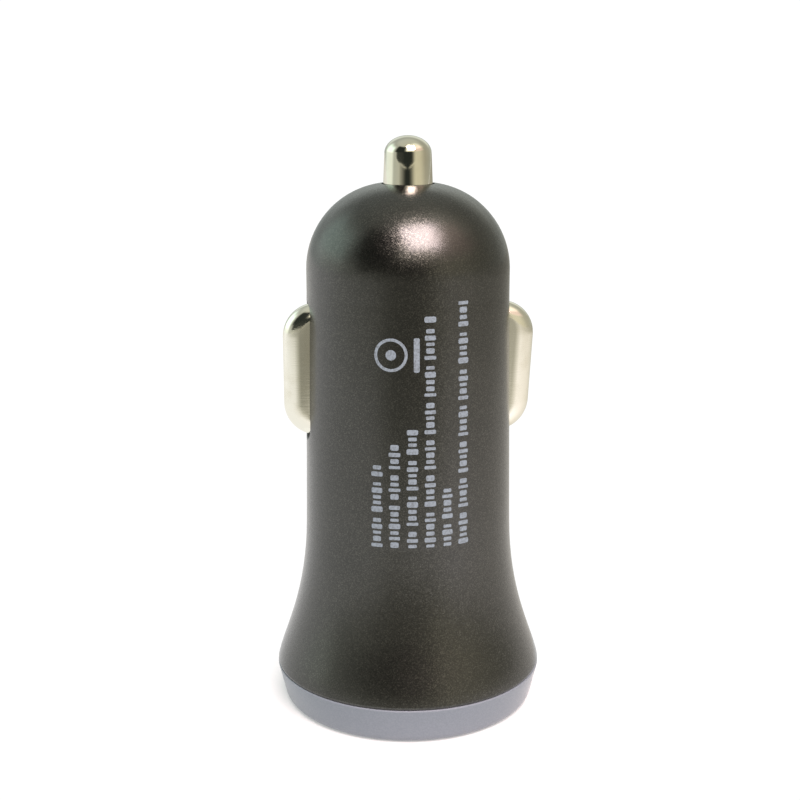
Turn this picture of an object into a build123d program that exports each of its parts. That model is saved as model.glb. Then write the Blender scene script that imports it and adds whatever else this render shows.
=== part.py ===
"""Car USB charger plug: a turned-look shell with a sprung tip, two sprung side contacts and one USB port.

Millimetres, +Z up along the plug's axis. The origin is the centre of the port face, the tip points up,
the side contacts lie on the X axis and the circuit board stands behind the axis, on the +Y side.
"""

import os
from math import sqrt

from build123d import *

os.makedirs("parts", exist_ok=True)

# Driving dimensions: outer form
BARREL_RADIUS = 10.2
BARREL_LAND = 2.3
BARREL_LENGTH = 26.2
BARREL_TAPER = 0.39
SKIRT_RADIUS = 13.85
SKIRT_HEIGHT = 15.3
FLARE_HANDLE_HIGH = 8.45
FLARE_HANDLE_LOW = 2.5
FLARE_TUCK = 0.43
CAP_HEIGHT = 3.85
CAP_TAPER = 0.92
NOSE_HEIGHT = 8.44
NOSE_LAND_RADIUS = 3.0
SEAM_ROUNDING = 0.25
CAP_BASE_ROUNDING = 1.05

# Driving dimensions: shell
WALL = 1.7
SPIGOT_RADIUS = 10.9
SPIGOT_CLEARANCE = 0.1
SPIGOT_WALL = 1.2
SPIGOT_LENGTH = 3.5
BORE_LEDGE = 0.6
FACE_THICKNESS = 1.8
RAIL_WIDTH = 0.9
RAIL_LENGTH = 8.0
RAIL_CLEARANCE = 0.1
RAIL_GRIP = 0.45

# Driving dimensions: tip
TIP_RADIUS = 2.46
TIP_DOME_RADIUS = 2.34
TIP_DOME_HEIGHT = 1.7
TIP_PROUD = 4.7
TIP_TRAVEL = 3.0
TIP_HOLE_CLEARANCE = 0.19
TIP_FLANGE_RADIUS = 3.3
TIP_FLANGE_THICKNESS = 1.2
TIP_FLANGE_CLEARANCE = 0.25
TIP_STUB_LENGTH = 1.4
GUIDE_WALL = 1.05
GUIDE_SPARE = 1.2
COIL_RADIUS = 2.25
COIL_WIRE = 0.5
COIL_LENGTH = 10.4
COIL_TURNS = 6.5
COIL_GUIDE_GAP = 0.2
SEAT_GAP = 0.05

# Driving dimensions: side contacts
SHOE_LENGTH = 13.56
SHOE_WIDTH = 3.2
SHOE_PROUD = 2.48
SHOE_DEPTH = 5.7
SHOE_CORNER = 3.4
SHOE_EDGE = 1.4
SHOE_SHEET = 0.45
SHOE_LIP = 0.9
SHOE_LEAN = 3.3
SHOE_LEAN_OFFSET = -1.5
SHOE_DROP = 0.38
SLOT_SIDE_GAP = 0.15
SLOT_TOP_GAP = 0.15
SLOT_BOTTOM_GAP = 0.35
SLOT_LAND_GAP = 0.79
SLOT_ROUNDING = 0.2
LEAF_SHEET = 0.3
LEAF_WIDTH = 1.0
LEAF_GAP = 0.28
LEAF_END_GAP = 0.88
LEAF_TOE = 1.4
LEAF_FOOT_HEIGHT = 2.0
LEAF_BEND = 0.6

# Driving dimensions: port
USB_WIDTH = 12.5
USB_HEIGHT = 5.12
USB_SHEET = 0.3
USB_CORNER = 0.6
USB_LENGTH = 13.8
USB_MOUTH = 0.5
USB_OPENING_GAP = 0.1
USB_OPENING_LEAD = 0.4
TONGUE_WIDTH = 11.1
TONGUE_THICKNESS = 1.84
TONGUE_FLOOR = 0.66
TONGUE_SETBACK = 1.1
TONGUE_EDGE = 0.3
BLOCK_LENGTH = 2.0
BLOCK_SETBACK = 1.4
BLOCK_GAP = 0.05
STRIP_WIDTH = 1.0
STRIP_SHEET = 0.25
STRIP_SINK = 0.15
STRIP_SETBACK = 0.8
STRIP_GAP = 0.05
STRIP_TAIL = 0.5
STRIP_OUTER = 3.5
STRIP_INNER = 1.0
TAB_LENGTH = 2.0
TAB_FROM_MOUTH = 8.0
FINGER_WIDTH = 1.8
FINGER_LENGTH = 4.6
FINGER_GAP = 0.4
FINGER_SPACING = 6.2
FINGER_FROM_MOUTH = 2.4

# Driving dimensions: board and what stands on it
BOARD_EDGE_GAP = 0.15
BOARD_PORT_MARGIN = 1.2
BOARD_PORT_OVERRUN = 0.4
BOARD_THICKNESS = 1.2
BOARD_FACE_GAP = 1.2
BOARD_TIP_GAP = 1.2
BOARD_CORNER = 1.0
PIN_THROUGH = 0.8
HOLE_GAP = 0.12
CAN_RADIUS = 3.15
CAN_LENGTH = 10.0
CAN_SPACING = 6.7
CAN_BOARD_GAP = 0.05
CAN_PORT_GAP = 1.4
CAN_ROUNDING = 0.4
CAN_CRIMP = 0.4
CAN_CRIMP_HEIGHT = 1.5
LEAD_RADIUS = 0.25
LEAD_PITCH = 2.5
LEAD_DROP = 0.6
DRUM_RADIUS = 3.3
DRUM_FLANGE = 0.8
DRUM_CORE_RADIUS = 1.5
DRUM_HEIGHT = 4.4
DRUM_TIP_GAP = 3.4
WINDING_TURNS = 5
WINDING_GAP = 0.05
PAD_RADIUS = 2.9
PAD_SHEET = 0.4
PAD_BOSS_HEIGHT = 0.7
LEG_WIDTH = 3.2
LEG_OVERLAP = 2.0
IC_LENGTH = 4.9
IC_WIDTH = 3.9
IC_HEIGHT = 1.5
IC_STANDOFF = 0.1
IC_LEGS_PER_SIDE = 4
IC_LEG_PITCH = 1.27
IC_LEG_WIDTH = 0.42
IC_LEG_SHEET = 0.2
IC_LEG_REACH = 1.05
IC_LEG_ROOT = 0.35
IC_DRAFT = 6.0
DIODE_LENGTH = 4.3
DIODE_WIDTH = 2.6
DIODE_HEIGHT = 2.1
DIODE_STRAP_WIDTH = 1.45
DIODE_STRAP_SHEET = 0.2
DIODE_STRAP_FOOT = 1.1
FUSE_LENGTH = 6.1
FUSE_SIZE = 2.5
FUSE_CAP_LENGTH = 1.4
FUSE_CAP_SHEET = 0.1
CHIP_LENGTH = 2.0
CHIP_WIDTH = 1.25
RESISTOR_HEIGHT = 0.5
CHIP_CAPACITOR_HEIGHT = 0.9
CHIP_SPACING = 10.0
CHIP_PITCH = 2.6
BACK_ROW_PITCH = 6.4

# Handle length, as a share of the radius, that makes a cubic curve follow a quarter of an ellipse
QUARTER_ELLIPSE = 0.5523

# Levels along the axis, from the port face to the tip
SEAM_Z = CAP_HEIGHT
WAIST_Z = SEAM_Z + SKIRT_HEIGHT
SHOULDER_Z = WAIST_Z + BARREL_LENGTH
LAND_Z = SHOULDER_Z - BARREL_LAND
NOSE_Z = SHOULDER_Z + NOSE_HEIGHT
TIP_Z = NOSE_Z + TIP_PROUD
SPIGOT_Z = SEAM_Z + SPIGOT_LENGTH
BORE_Z = SPIGOT_Z + 2 * SPIGOT_CLEARANCE
FLANGE_SEAT_Z = NOSE_Z - WALL
FLANGE_TOP_Z = FLANGE_SEAT_Z - SEAT_GAP
FLANGE_BOTTOM_Z = FLANGE_TOP_Z - TIP_FLANGE_THICKNESS
GUIDE_Z = FLANGE_BOTTOM_Z - TIP_TRAVEL - GUIDE_SPARE
PAD_Z = FLANGE_BOTTOM_Z - COIL_LENGTH - 2 * SEAT_GAP
SLOT_LENGTH = SHOE_LENGTH + SLOT_TOP_GAP + SLOT_BOTTOM_GAP
SLOT_WIDTH = SHOE_WIDTH + 2 * SLOT_SIDE_GAP
SLOT_Z = LAND_Z - SLOT_LAND_GAP - SLOT_LENGTH / 2
CONTACT_Z = SLOT_Z + (SLOT_BOTTOM_GAP - SLOT_TOP_GAP) / 2
USB_REAR_Z = USB_MOUTH + USB_LENGTH
BLOCK_REAR_Z = USB_REAR_Z - BLOCK_SETBACK
CAN_BASE_Z = USB_REAR_Z + CAN_PORT_GAP
CAN_TOP_Z = CAN_BASE_Z + CAN_LENGTH
LEAD_Z = CAN_BASE_Z - LEAD_DROP
BOARD_BOTTOM_Z = FACE_THICKNESS + BOARD_FACE_GAP
BOARD_STEP_Z = USB_REAR_Z + BOARD_PORT_OVERRUN
BOARD_TOP_Z = PAD_Z - BOARD_TIP_GAP
DRUM_Z = BOARD_TOP_Z - DRUM_TIP_GAP - DRUM_RADIUS
IC_Z = (CAN_BASE_Z + CAN_TOP_Z) / 2
DIODE_Z = IC_Z + BACK_ROW_PITCH
FUSE_Z = DIODE_Z + BACK_ROW_PITCH

# Depths behind and in front of the axis
BOARD_FACE_Y = USB_HEIGHT / 2 + USB_SHEET
BOARD_BACK_Y = BOARD_FACE_Y + BOARD_THICKNESS
CAN_Y = BOARD_FACE_Y - CAN_BOARD_GAP - CAN_RADIUS
TONGUE_Y = TONGUE_FLOOR + TONGUE_THICKNESS / 2 - USB_HEIGHT / 2
TONGUE_FACE_Y = TONGUE_Y + TONGUE_THICKNESS / 2
STRIP_Y = TONGUE_FACE_Y - STRIP_SINK
STRIP_XS = (-STRIP_OUTER, -STRIP_INNER, STRIP_INNER, STRIP_OUTER)

# Radii and widths that follow from the fits
WAIST_RADIUS = BARREL_RADIUS + BARREL_TAPER
CAP_BASE_RADIUS = SKIRT_RADIUS - CAP_TAPER
TIP_HOLE_RADIUS = TIP_RADIUS + TIP_HOLE_CLEARANCE
GUIDE_RADIUS = TIP_FLANGE_RADIUS + TIP_FLANGE_CLEARANCE
GUIDE_OUTER_RADIUS = GUIDE_RADIUS + GUIDE_WALL
COIL_CORE_RADIUS = COIL_RADIUS - COIL_WIRE / 2 - COIL_GUIDE_GAP
SPIGOT_BORE_RADIUS = SPIGOT_RADIUS + SPIGOT_CLEARANCE
USB_OUTER_WIDTH = USB_WIDTH + 2 * USB_SHEET
USB_OUTER_HEIGHT = USB_HEIGHT + 2 * USB_SHEET
BOARD_WIDTH = 2 * sqrt((BARREL_RADIUS - WALL - BOARD_EDGE_GAP) ** 2 - BOARD_BACK_Y**2)
BOARD_PORT_WIDTH = USB_OUTER_WIDTH + 2 * BOARD_PORT_MARGIN
SHOE_REACH = BARREL_RADIUS + SHOE_PROUD
SHOE_BACK = SHOE_REACH - SHOE_DEPTH
SHOE_HALF = SHOE_LENGTH / 2
LEAF_RADIUS = SHOE_HALF - SHOE_SHEET - LEAF_END_GAP - LEAF_SHEET / 2
LEAF_CENTRE_X = SHOE_REACH - SHOE_SHEET - LEAF_GAP - LEAF_SHEET / 2 - LEAF_RADIUS
LEAF_LOW_Z = CONTACT_Z - LEAF_RADIUS
LEAF_FOOT_X = LEAF_CENTRE_X - 2 * LEAF_BEND - LEAF_TOE
LEAF_FOOT_Z = LEAF_LOW_Z - LEAF_BEND - LEAF_FOOT_HEIGHT

# Planes on the two faces of the board; X is the plug's X on the front and runs the other way on the back
BOARD_FRONT = Plane(origin=(0, BOARD_FACE_Y, 0), x_dir=(1, 0, 0), z_dir=(0, -1, 0))
BOARD_BACK = Plane(origin=(0, BOARD_BACK_Y, 0), x_dir=(-1, 0, 0), z_dir=(0, 1, 0))


def nose_arc_radius():
    """Radius of the arc that leaves the barrel straight and ends at the flat round the tip hole."""
    run = BARREL_RADIUS - NOSE_LAND_RADIUS
    return (run**2 + NOSE_HEIGHT**2) / (2 * run)


def inner_nose_z(radius):
    """Height of the inside of the nose, one wall below the outside, at this distance from the axis."""
    outer = nose_arc_radius()
    centre = BARREL_RADIUS - outer
    return SHOULDER_Z + sqrt((outer - WALL) ** 2 - (radius - centre) ** 2)


def save(piece, name):
    """Label a finished piece and write it as its own file."""
    piece.part.label = name
    export_step(piece.part, f"parts/{name}.step")


# Housing: one revolved wall, with the tip guide, the contact slots and the board rails
barrel_draft = (WAIST_RADIUS - BARREL_RADIUS) / (LAND_Z - WAIST_Z)

with BuildPart() as housing:
    with BuildSketch(Plane.YZ):
        with BuildLine():
            Line((TIP_HOLE_RADIUS, NOSE_Z), (NOSE_LAND_RADIUS, NOSE_Z))
            TangentArc(
                (BARREL_RADIUS, SHOULDER_Z),
                (NOSE_LAND_RADIUS, NOSE_Z),
                tangent=(0, 1),
            )
            Polyline(
                (BARREL_RADIUS, SHOULDER_Z),
                (BARREL_RADIUS, LAND_Z),
                (WAIST_RADIUS, WAIST_Z),
            )
            Bezier(
                (WAIST_RADIUS, WAIST_Z),
                (WAIST_RADIUS + barrel_draft * FLARE_HANDLE_HIGH, WAIST_Z - FLARE_HANDLE_HIGH),
                (SKIRT_RADIUS - FLARE_TUCK, SEAM_Z + FLARE_HANDLE_LOW),
                (SKIRT_RADIUS, SEAM_Z),
            )
            Polyline(
                (SKIRT_RADIUS, SEAM_Z),
                (SPIGOT_BORE_RADIUS, SEAM_Z),
                (SPIGOT_BORE_RADIUS, BORE_Z),
                (SPIGOT_BORE_RADIUS - BORE_LEDGE, BORE_Z),
                (WAIST_RADIUS - WALL, WAIST_Z),
                (BARREL_RADIUS - WALL, SHOULDER_Z),
            )
            TangentArc(
                (BARREL_RADIUS - WALL, SHOULDER_Z),
                (GUIDE_OUTER_RADIUS, inner_nose_z(GUIDE_OUTER_RADIUS)),
                tangent=(0, 1),
            )
            Polyline(
                (GUIDE_OUTER_RADIUS, inner_nose_z(GUIDE_OUTER_RADIUS)),
                (GUIDE_OUTER_RADIUS, GUIDE_Z),
                (GUIDE_RADIUS, GUIDE_Z),
                (GUIDE_RADIUS, FLANGE_SEAT_Z),
                (TIP_HOLE_RADIUS, FLANGE_SEAT_Z),
                (TIP_HOLE_RADIUS, NOSE_Z),
            )
        make_face()
    revolve(axis=Axis.Z)
    seam_edge = housing.edges().filter_by(GeomType.CIRCLE).group_by(Axis.Z)[0].sort_by(SortBy.RADIUS)[-1]
    fillet(seam_edge, radius=SEAM_ROUNDING)
    for side in (1, -1):
        with BuildSketch(Plane.YZ.offset(side * SHOE_BACK)):
            with Locations((0, SLOT_Z)):
                RectangleRounded(SLOT_WIDTH, SLOT_LENGTH, SHOE_EDGE + SLOT_SIDE_GAP)
        extrude(amount=side * SHOE_DEPTH, mode=Mode.SUBTRACT)
    slot_rims = housing.edges().filter_by(
        lambda edge: abs(edge.center().X) > BARREL_RADIUS - WALL / 2
        and abs(edge.center().Z - SLOT_Z) < SLOT_LENGTH / 2 + SLOT_LAND_GAP / 2
    )
    fillet(slot_rims, radius=SLOT_ROUNDING)
    rail_inner_x = BOARD_WIDTH / 2 - RAIL_GRIP
    with BuildSketch(Plane.XY.offset(WAIST_Z - RAIL_LENGTH / 2)):
        for side in (1, -1):
            for rail_y in (
                BOARD_FACE_Y - RAIL_CLEARANCE - RAIL_WIDTH / 2,
                BOARD_BACK_Y + RAIL_CLEARANCE + RAIL_WIDTH / 2,
            ):
                with Locations((side * (rail_inner_x + BARREL_RADIUS) / 2, rail_y)):
                    Rectangle(BARREL_RADIUS - rail_inner_x, RAIL_WIDTH)
        Circle(BARREL_RADIUS - WALL / 2, mode=Mode.INTERSECT)
    extrude(amount=RAIL_LENGTH)
save(housing, "housing")

# End cap: the tapered ring, the port face and the spigot that plugs into the skirt
with BuildPart() as end_cap:
    with BuildSketch(Plane.XZ):
        with BuildLine():
            Polyline(
                (0, 0),
                (CAP_BASE_RADIUS, 0),
                (SKIRT_RADIUS, SEAM_Z),
                (SPIGOT_RADIUS, SEAM_Z),
                (SPIGOT_RADIUS, SPIGOT_Z),
                (SPIGOT_RADIUS - SPIGOT_WALL, SPIGOT_Z),
                (SPIGOT_RADIUS - SPIGOT_WALL, FACE_THICKNESS),
                (0, FACE_THICKNESS),
                close=True,
            )
        make_face()
    revolve(axis=Axis.Z)
    cap_rims = end_cap.edges().filter_by(GeomType.CIRCLE)
    base_rim = cap_rims.group_by(Axis.Z)[0]
    seam_rim = cap_rims.sort_by(SortBy.RADIUS)[-1]
    fillet(base_rim, radius=CAP_BASE_ROUNDING)
    fillet(seam_rim, radius=SEAM_ROUNDING / 2)
    with BuildSketch(Plane.XY):
        RectangleRounded(
            USB_OUTER_WIDTH + 2 * USB_OPENING_GAP,
            USB_OUTER_HEIGHT + 2 * USB_OPENING_GAP,
            USB_CORNER + USB_OPENING_GAP,
        )
    extrude(amount=FACE_THICKNESS, mode=Mode.SUBTRACT)
    opening_rim = end_cap.faces().sort_by(Axis.Z)[0].inner_wires().edges()
    chamfer(opening_rim, length=USB_OPENING_LEAD)
save(end_cap, "end_cap")

# Port shell: folded sheet with spring fingers on both wide walls and two tabs into the board
finger_z = USB_MOUTH + FINGER_FROM_MOUTH
finger_xs = (-FINGER_SPACING / 2, FINGER_SPACING / 2)
tab_z = USB_MOUTH + TAB_FROM_MOUTH

with BuildPart() as usb_shell:
    with BuildSketch(Plane.XY.offset(USB_MOUTH)):
        RectangleRounded(USB_OUTER_WIDTH, USB_OUTER_HEIGHT, USB_CORNER)
        RectangleRounded(USB_WIDTH, USB_HEIGHT, USB_CORNER - USB_SHEET, mode=Mode.SUBTRACT)
    extrude(amount=USB_LENGTH)
    with BuildSketch(BOARD_FRONT):
        with Locations((0, (BLOCK_REAR_Z + USB_REAR_Z) / 2)):
            Rectangle(TONGUE_WIDTH, USB_REAR_Z - BLOCK_REAR_Z)
    extrude(amount=USB_SHEET, mode=Mode.SUBTRACT)
    with BuildSketch(Plane.XZ):
        for finger_x in finger_xs:
            with Locations((finger_x, finger_z + (FINGER_LENGTH + FINGER_GAP) / 2)):
                Rectangle(FINGER_WIDTH + 2 * FINGER_GAP, FINGER_LENGTH + FINGER_GAP)
            with Locations((finger_x, finger_z + FINGER_LENGTH / 2)):
                Rectangle(FINGER_WIDTH, FINGER_LENGTH, mode=Mode.SUBTRACT)
    extrude(amount=USB_OUTER_HEIGHT / 2, both=True, mode=Mode.SUBTRACT)
    for side in (1, -1):
        with BuildSketch(Plane.YZ.offset(side * USB_WIDTH / 2)):
            with Locations(((BOARD_BACK_Y + PIN_THROUGH) / 2, tab_z + TAB_LENGTH / 2)):
                Rectangle(BOARD_BACK_Y + PIN_THROUGH, TAB_LENGTH)
        extrude(amount=side * USB_SHEET)
save(usb_shell, "usb_shell")

# Port tongue: the moulded tongue and the block that carries it at the back of the shell
tongue_z = USB_MOUTH + TONGUE_SETBACK
strip_z = tongue_z + STRIP_SETBACK

with BuildPart() as usb_tongue:
    with BuildSketch(Plane.XY.offset(tongue_z)):
        with Locations((0, TONGUE_Y)):
            Rectangle(TONGUE_WIDTH, TONGUE_THICKNESS)
    extrude(amount=BLOCK_REAR_Z - tongue_z)
    chamfer(usb_tongue.faces().sort_by(Axis.Z)[0].edges(), length=TONGUE_EDGE)
    with BuildSketch(Plane.XY.offset(BLOCK_REAR_Z - BLOCK_LENGTH)):
        RectangleRounded(USB_WIDTH - 2 * BLOCK_GAP, USB_HEIGHT - 2 * BLOCK_GAP, USB_CORNER - USB_SHEET)
    extrude(amount=BLOCK_LENGTH)
    with BuildSketch(Plane.XY.offset(strip_z)):
        with Locations(*[(x, STRIP_Y + (STRIP_SHEET + STRIP_GAP) / 2) for x in STRIP_XS]):
            Rectangle(STRIP_WIDTH + 2 * STRIP_GAP, STRIP_SHEET + STRIP_GAP)
    extrude(amount=BLOCK_REAR_Z - strip_z, mode=Mode.SUBTRACT)
save(usb_tongue, "usb_tongue")

# Port contacts: four strips in the tongue's grooves, with tails bent down through the board
tail_z = BLOCK_REAR_Z + STRIP_TAIL

with BuildPart() as usb_contacts:
    for strip_x in STRIP_XS:
        with BuildSketch(Plane.YZ.offset(strip_x - STRIP_WIDTH / 2)):
            with BuildLine():
                Polyline(
                    (STRIP_Y, strip_z + STRIP_GAP),
                    (STRIP_Y + STRIP_SHEET, strip_z + STRIP_GAP),
                    (STRIP_Y + STRIP_SHEET, tail_z - STRIP_SHEET),
                    (BOARD_BACK_Y + PIN_THROUGH, tail_z - STRIP_SHEET),
                    (BOARD_BACK_Y + PIN_THROUGH, tail_z),
                    (STRIP_Y, tail_z),
                    close=True,
                )
            make_face()
        extrude(amount=STRIP_WIDTH)
save(usb_contacts, "usb_contacts")

# Circuit board: wide behind the port, narrower in the barrel, with a hole for whatever passes through it
can_xs = (-CAN_SPACING / 2, CAN_SPACING / 2)
lead_xs = [x + offset for x in can_xs for offset in (-LEAD_PITCH / 2, LEAD_PITCH / 2)]
tab_x = (USB_WIDTH + USB_SHEET) / 2
foot_z = LEAF_FOOT_Z + LEAF_FOOT_HEIGHT / 2

with BuildPart() as main_board:
    with BuildSketch(BOARD_FRONT) as board_outline:
        with Locations((0, (BOARD_BOTTOM_Z + BOARD_TOP_Z) / 2)):
            Rectangle(BOARD_WIDTH, BOARD_TOP_Z - BOARD_BOTTOM_Z)
        with Locations((0, (BOARD_BOTTOM_Z + BOARD_STEP_Z) / 2)):
            Rectangle(BOARD_PORT_WIDTH, BOARD_STEP_Z - BOARD_BOTTOM_Z)
        corner_rows = board_outline.vertices().group_by(Axis.Y)
        chamfer(corner_rows[0] + corner_rows[-1], length=BOARD_CORNER)
        with Locations((-tab_x, tab_z + TAB_LENGTH / 2), (tab_x, tab_z + TAB_LENGTH / 2)):
            Rectangle(USB_SHEET + 2 * HOLE_GAP, TAB_LENGTH + 2 * HOLE_GAP, mode=Mode.SUBTRACT)
        with Locations(*[(x, tail_z - STRIP_SHEET / 2) for x in STRIP_XS]):
            Rectangle(STRIP_WIDTH + 2 * HOLE_GAP, STRIP_SHEET + 2 * HOLE_GAP, mode=Mode.SUBTRACT)
        with Locations(*[(x, LEAD_Z) for x in lead_xs]):
            Circle(LEAD_RADIUS + HOLE_GAP, mode=Mode.SUBTRACT)
        with Locations((-LEAF_FOOT_X, foot_z), (LEAF_FOOT_X, foot_z)):
            Rectangle(LEAF_SHEET + 2 * HOLE_GAP, LEAF_FOOT_HEIGHT + 2 * HOLE_GAP, mode=Mode.SUBTRACT)
    extrude(amount=-BOARD_THICKNESS)
save(main_board, "main_board")

# Capacitors: crimped cans that lie along the board, with their leads bent into it
for can_name, can_x in zip(("input_capacitor", "output_capacitor"), can_xs):
    can_plane = Plane(origin=(can_x, CAN_Y, CAN_BASE_Z), x_dir=(1, 0, 0), z_dir=(0, -1, 0))
    with BuildPart() as capacitor:
        with BuildSketch(can_plane):
            with BuildLine():
                Polyline((0, 0), (CAN_RADIUS, 0), (CAN_RADIUS, CAN_CRIMP_HEIGHT - CAN_CRIMP))
                ThreePointArc(
                    (CAN_RADIUS, CAN_CRIMP_HEIGHT - CAN_CRIMP),
                    (CAN_RADIUS - CAN_CRIMP, CAN_CRIMP_HEIGHT),
                    (CAN_RADIUS, CAN_CRIMP_HEIGHT + CAN_CRIMP),
                )
                Polyline(
                    (CAN_RADIUS, CAN_CRIMP_HEIGHT + CAN_CRIMP),
                    (CAN_RADIUS, CAN_LENGTH),
                    (0, CAN_LENGTH),
                    (0, 0),
                )
            make_face()
        revolve(axis=Axis((can_x, CAN_Y, CAN_BASE_Z), (0, 0, 1)))
        can_rims = capacitor.edges().filter_by(GeomType.CIRCLE).group_by(Axis.Z)
        fillet(can_rims[0] + can_rims[-1], radius=CAN_ROUNDING)
        for lead_x in (can_x - LEAD_PITCH / 2, can_x + LEAD_PITCH / 2):
            with BuildLine() as lead:
                FilletPolyline(
                    (lead_x, CAN_Y, CAN_BASE_Z + LEAD_RADIUS),
                    (lead_x, CAN_Y, LEAD_Z),
                    (lead_x, BOARD_BACK_Y + PIN_THROUGH, LEAD_Z),
                    radius=2 * LEAD_RADIUS,
                )
            with BuildSketch(Plane(origin=lead.line @ 0, z_dir=lead.line % 0)):
                Circle(LEAD_RADIUS)
            sweep(path=lead.line)
    save(capacitor, can_name)

# Inductor: a ferrite drum on the board and the copper winding between its flanges
drum_plane = Plane(origin=(0, BOARD_FACE_Y, DRUM_Z), x_dir=(1, 0, 0), z_dir=(0, 0, 1))
drum_axis = Axis((0, BOARD_FACE_Y, DRUM_Z), (0, 1, 0))

with BuildPart() as inductor_core:
    with BuildSketch(drum_plane):
        with BuildLine():
            Polyline(
                (0, 0),
                (DRUM_RADIUS, 0),
                (DRUM_RADIUS, -DRUM_FLANGE),
                (DRUM_CORE_RADIUS, -DRUM_FLANGE),
                (DRUM_CORE_RADIUS, DRUM_FLANGE - DRUM_HEIGHT),
                (DRUM_RADIUS, DRUM_FLANGE - DRUM_HEIGHT),
                (DRUM_RADIUS, -DRUM_HEIGHT),
                (0, -DRUM_HEIGHT),
                close=True,
            )
        make_face()
    revolve(axis=drum_axis)
save(inductor_core, "inductor_core")

winding_wire = (DRUM_HEIGHT - 2 * DRUM_FLANGE - 2 * WINDING_GAP) / WINDING_TURNS
winding_inner = DRUM_CORE_RADIUS + WINDING_GAP
winding_outer = DRUM_RADIUS - winding_wire
winding_start = -DRUM_FLANGE - WINDING_GAP
winding_end = winding_start - WINDING_TURNS * winding_wire

with BuildPart() as inductor_winding:
    with BuildSketch(drum_plane):
        with BuildLine():
            Line((winding_inner, winding_start), (winding_outer, winding_start))
            for turn in range(WINDING_TURNS):
                turn_y = winding_start - turn * winding_wire
                ThreePointArc(
                    (winding_outer, turn_y),
                    (winding_outer + winding_wire / 2, turn_y - winding_wire / 2),
                    (winding_outer, turn_y - winding_wire),
                )
            Polyline(
                (winding_outer, winding_end),
                (winding_inner, winding_end),
                (winding_inner, winding_start),
            )
        make_face()
    revolve(axis=drum_axis)
save(inductor_winding, "inductor_winding")

# Converter chip: a moulded body with eight gull-wing legs on the back of the board
ic_leg_y = BOARD_BACK_Y + IC_STANDOFF + IC_HEIGHT / 2
ic_leg_middle = (IC_LEGS_PER_SIDE - 1) / 2
ic_leg_zs = [IC_Z + (index - ic_leg_middle) * IC_LEG_PITCH for index in range(IC_LEGS_PER_SIDE)]

with BuildPart() as converter_ic:
    with BuildSketch(BOARD_BACK.offset(IC_STANDOFF)):
        with Locations((0, IC_Z)):
            Rectangle(IC_WIDTH, IC_LENGTH)
    extrude(amount=IC_HEIGHT, taper=IC_DRAFT)
    for leg_z in ic_leg_zs:
        with BuildSketch(Plane.XY.offset(leg_z - IC_LEG_WIDTH / 2)):
            with BuildLine():
                Polyline(
                    (IC_WIDTH / 2 - IC_LEG_ROOT, ic_leg_y),
                    (IC_WIDTH / 2 + IC_LEG_REACH / 2, ic_leg_y),
                    (IC_WIDTH / 2 + IC_LEG_REACH / 2, BOARD_BACK_Y + IC_LEG_SHEET / 2),
                    (IC_WIDTH / 2 + IC_LEG_REACH, BOARD_BACK_Y + IC_LEG_SHEET / 2),
                )
            trace(line_width=IC_LEG_SHEET)
            mirror(about=Plane.YZ)
        extrude(amount=IC_LEG_WIDTH)
save(converter_ic, "converter_ic")

# Rectifier diode: a moulded block whose end straps fold under it
with BuildPart() as rectifier_diode:
    with BuildSketch(BOARD_BACK.offset(DIODE_STRAP_SHEET)):
        with Locations((0, DIODE_Z)):
            Rectangle(DIODE_LENGTH, DIODE_WIDTH)
    extrude(amount=DIODE_HEIGHT - DIODE_STRAP_SHEET)
    with BuildSketch(Plane.XY.offset(DIODE_Z - DIODE_STRAP_WIDTH / 2)):
        with BuildLine():
            Polyline(
                ((DIODE_LENGTH + DIODE_STRAP_SHEET) / 2, BOARD_BACK_Y + DIODE_HEIGHT / 2),
                ((DIODE_LENGTH + DIODE_STRAP_SHEET) / 2, BOARD_BACK_Y + DIODE_STRAP_SHEET / 2),
                (DIODE_LENGTH / 2 - DIODE_STRAP_FOOT, BOARD_BACK_Y + DIODE_STRAP_SHEET / 2),
            )
        trace(line_width=DIODE_STRAP_SHEET)
        mirror(about=Plane.YZ)
    extrude(amount=DIODE_STRAP_WIDTH)
save(rectifier_diode, "rectifier_diode")

# Input fuse: a square ceramic body with a metal cap on each end
with BuildPart() as input_fuse:
    with BuildSketch(BOARD_BACK.offset(FUSE_CAP_SHEET)):
        with Locations((0, FUSE_Z)):
            Rectangle(FUSE_SIZE, FUSE_LENGTH - 2 * FUSE_CAP_SHEET)
    extrude(amount=FUSE_SIZE)
    with BuildSketch(BOARD_BACK):
        with Locations((0, FUSE_Z)):
            with GridLocations(FUSE_SIZE, FUSE_LENGTH - FUSE_CAP_LENGTH, 1, 2):
                Rectangle(FUSE_SIZE + 2 * FUSE_CAP_SHEET, FUSE_CAP_LENGTH)
    extrude(amount=FUSE_SIZE + 2 * FUSE_CAP_SHEET)
save(input_fuse, "input_fuse")

# Chip resistors and chip capacitors: small blocks in two columns on the back of the board
with BuildPart() as chip_resistors:
    with BuildSketch(BOARD_BACK):
        with Locations((0, IC_Z)):
            with GridLocations(CHIP_SPACING, CHIP_PITCH, 2, 2):
                Rectangle(CHIP_WIDTH, CHIP_LENGTH)
    extrude(amount=RESISTOR_HEIGHT)
save(chip_resistors, "chip_resistors")

with BuildPart() as chip_capacitors:
    with BuildSketch(BOARD_BACK):
        with Locations((0, FUSE_Z)):
            with GridLocations(CHIP_SPACING, CHIP_PITCH, 2, 2):
                Rectangle(CHIP_WIDTH, CHIP_LENGTH)
    extrude(amount=CHIP_CAPACITOR_HEIGHT)
save(chip_capacitors, "chip_capacitors")

# Spring terminal: a brass pad that the coil stands on, with a leg soldered to the front of the board
leg_low_z = BOARD_TOP_Z - LEG_OVERLAP

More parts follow.
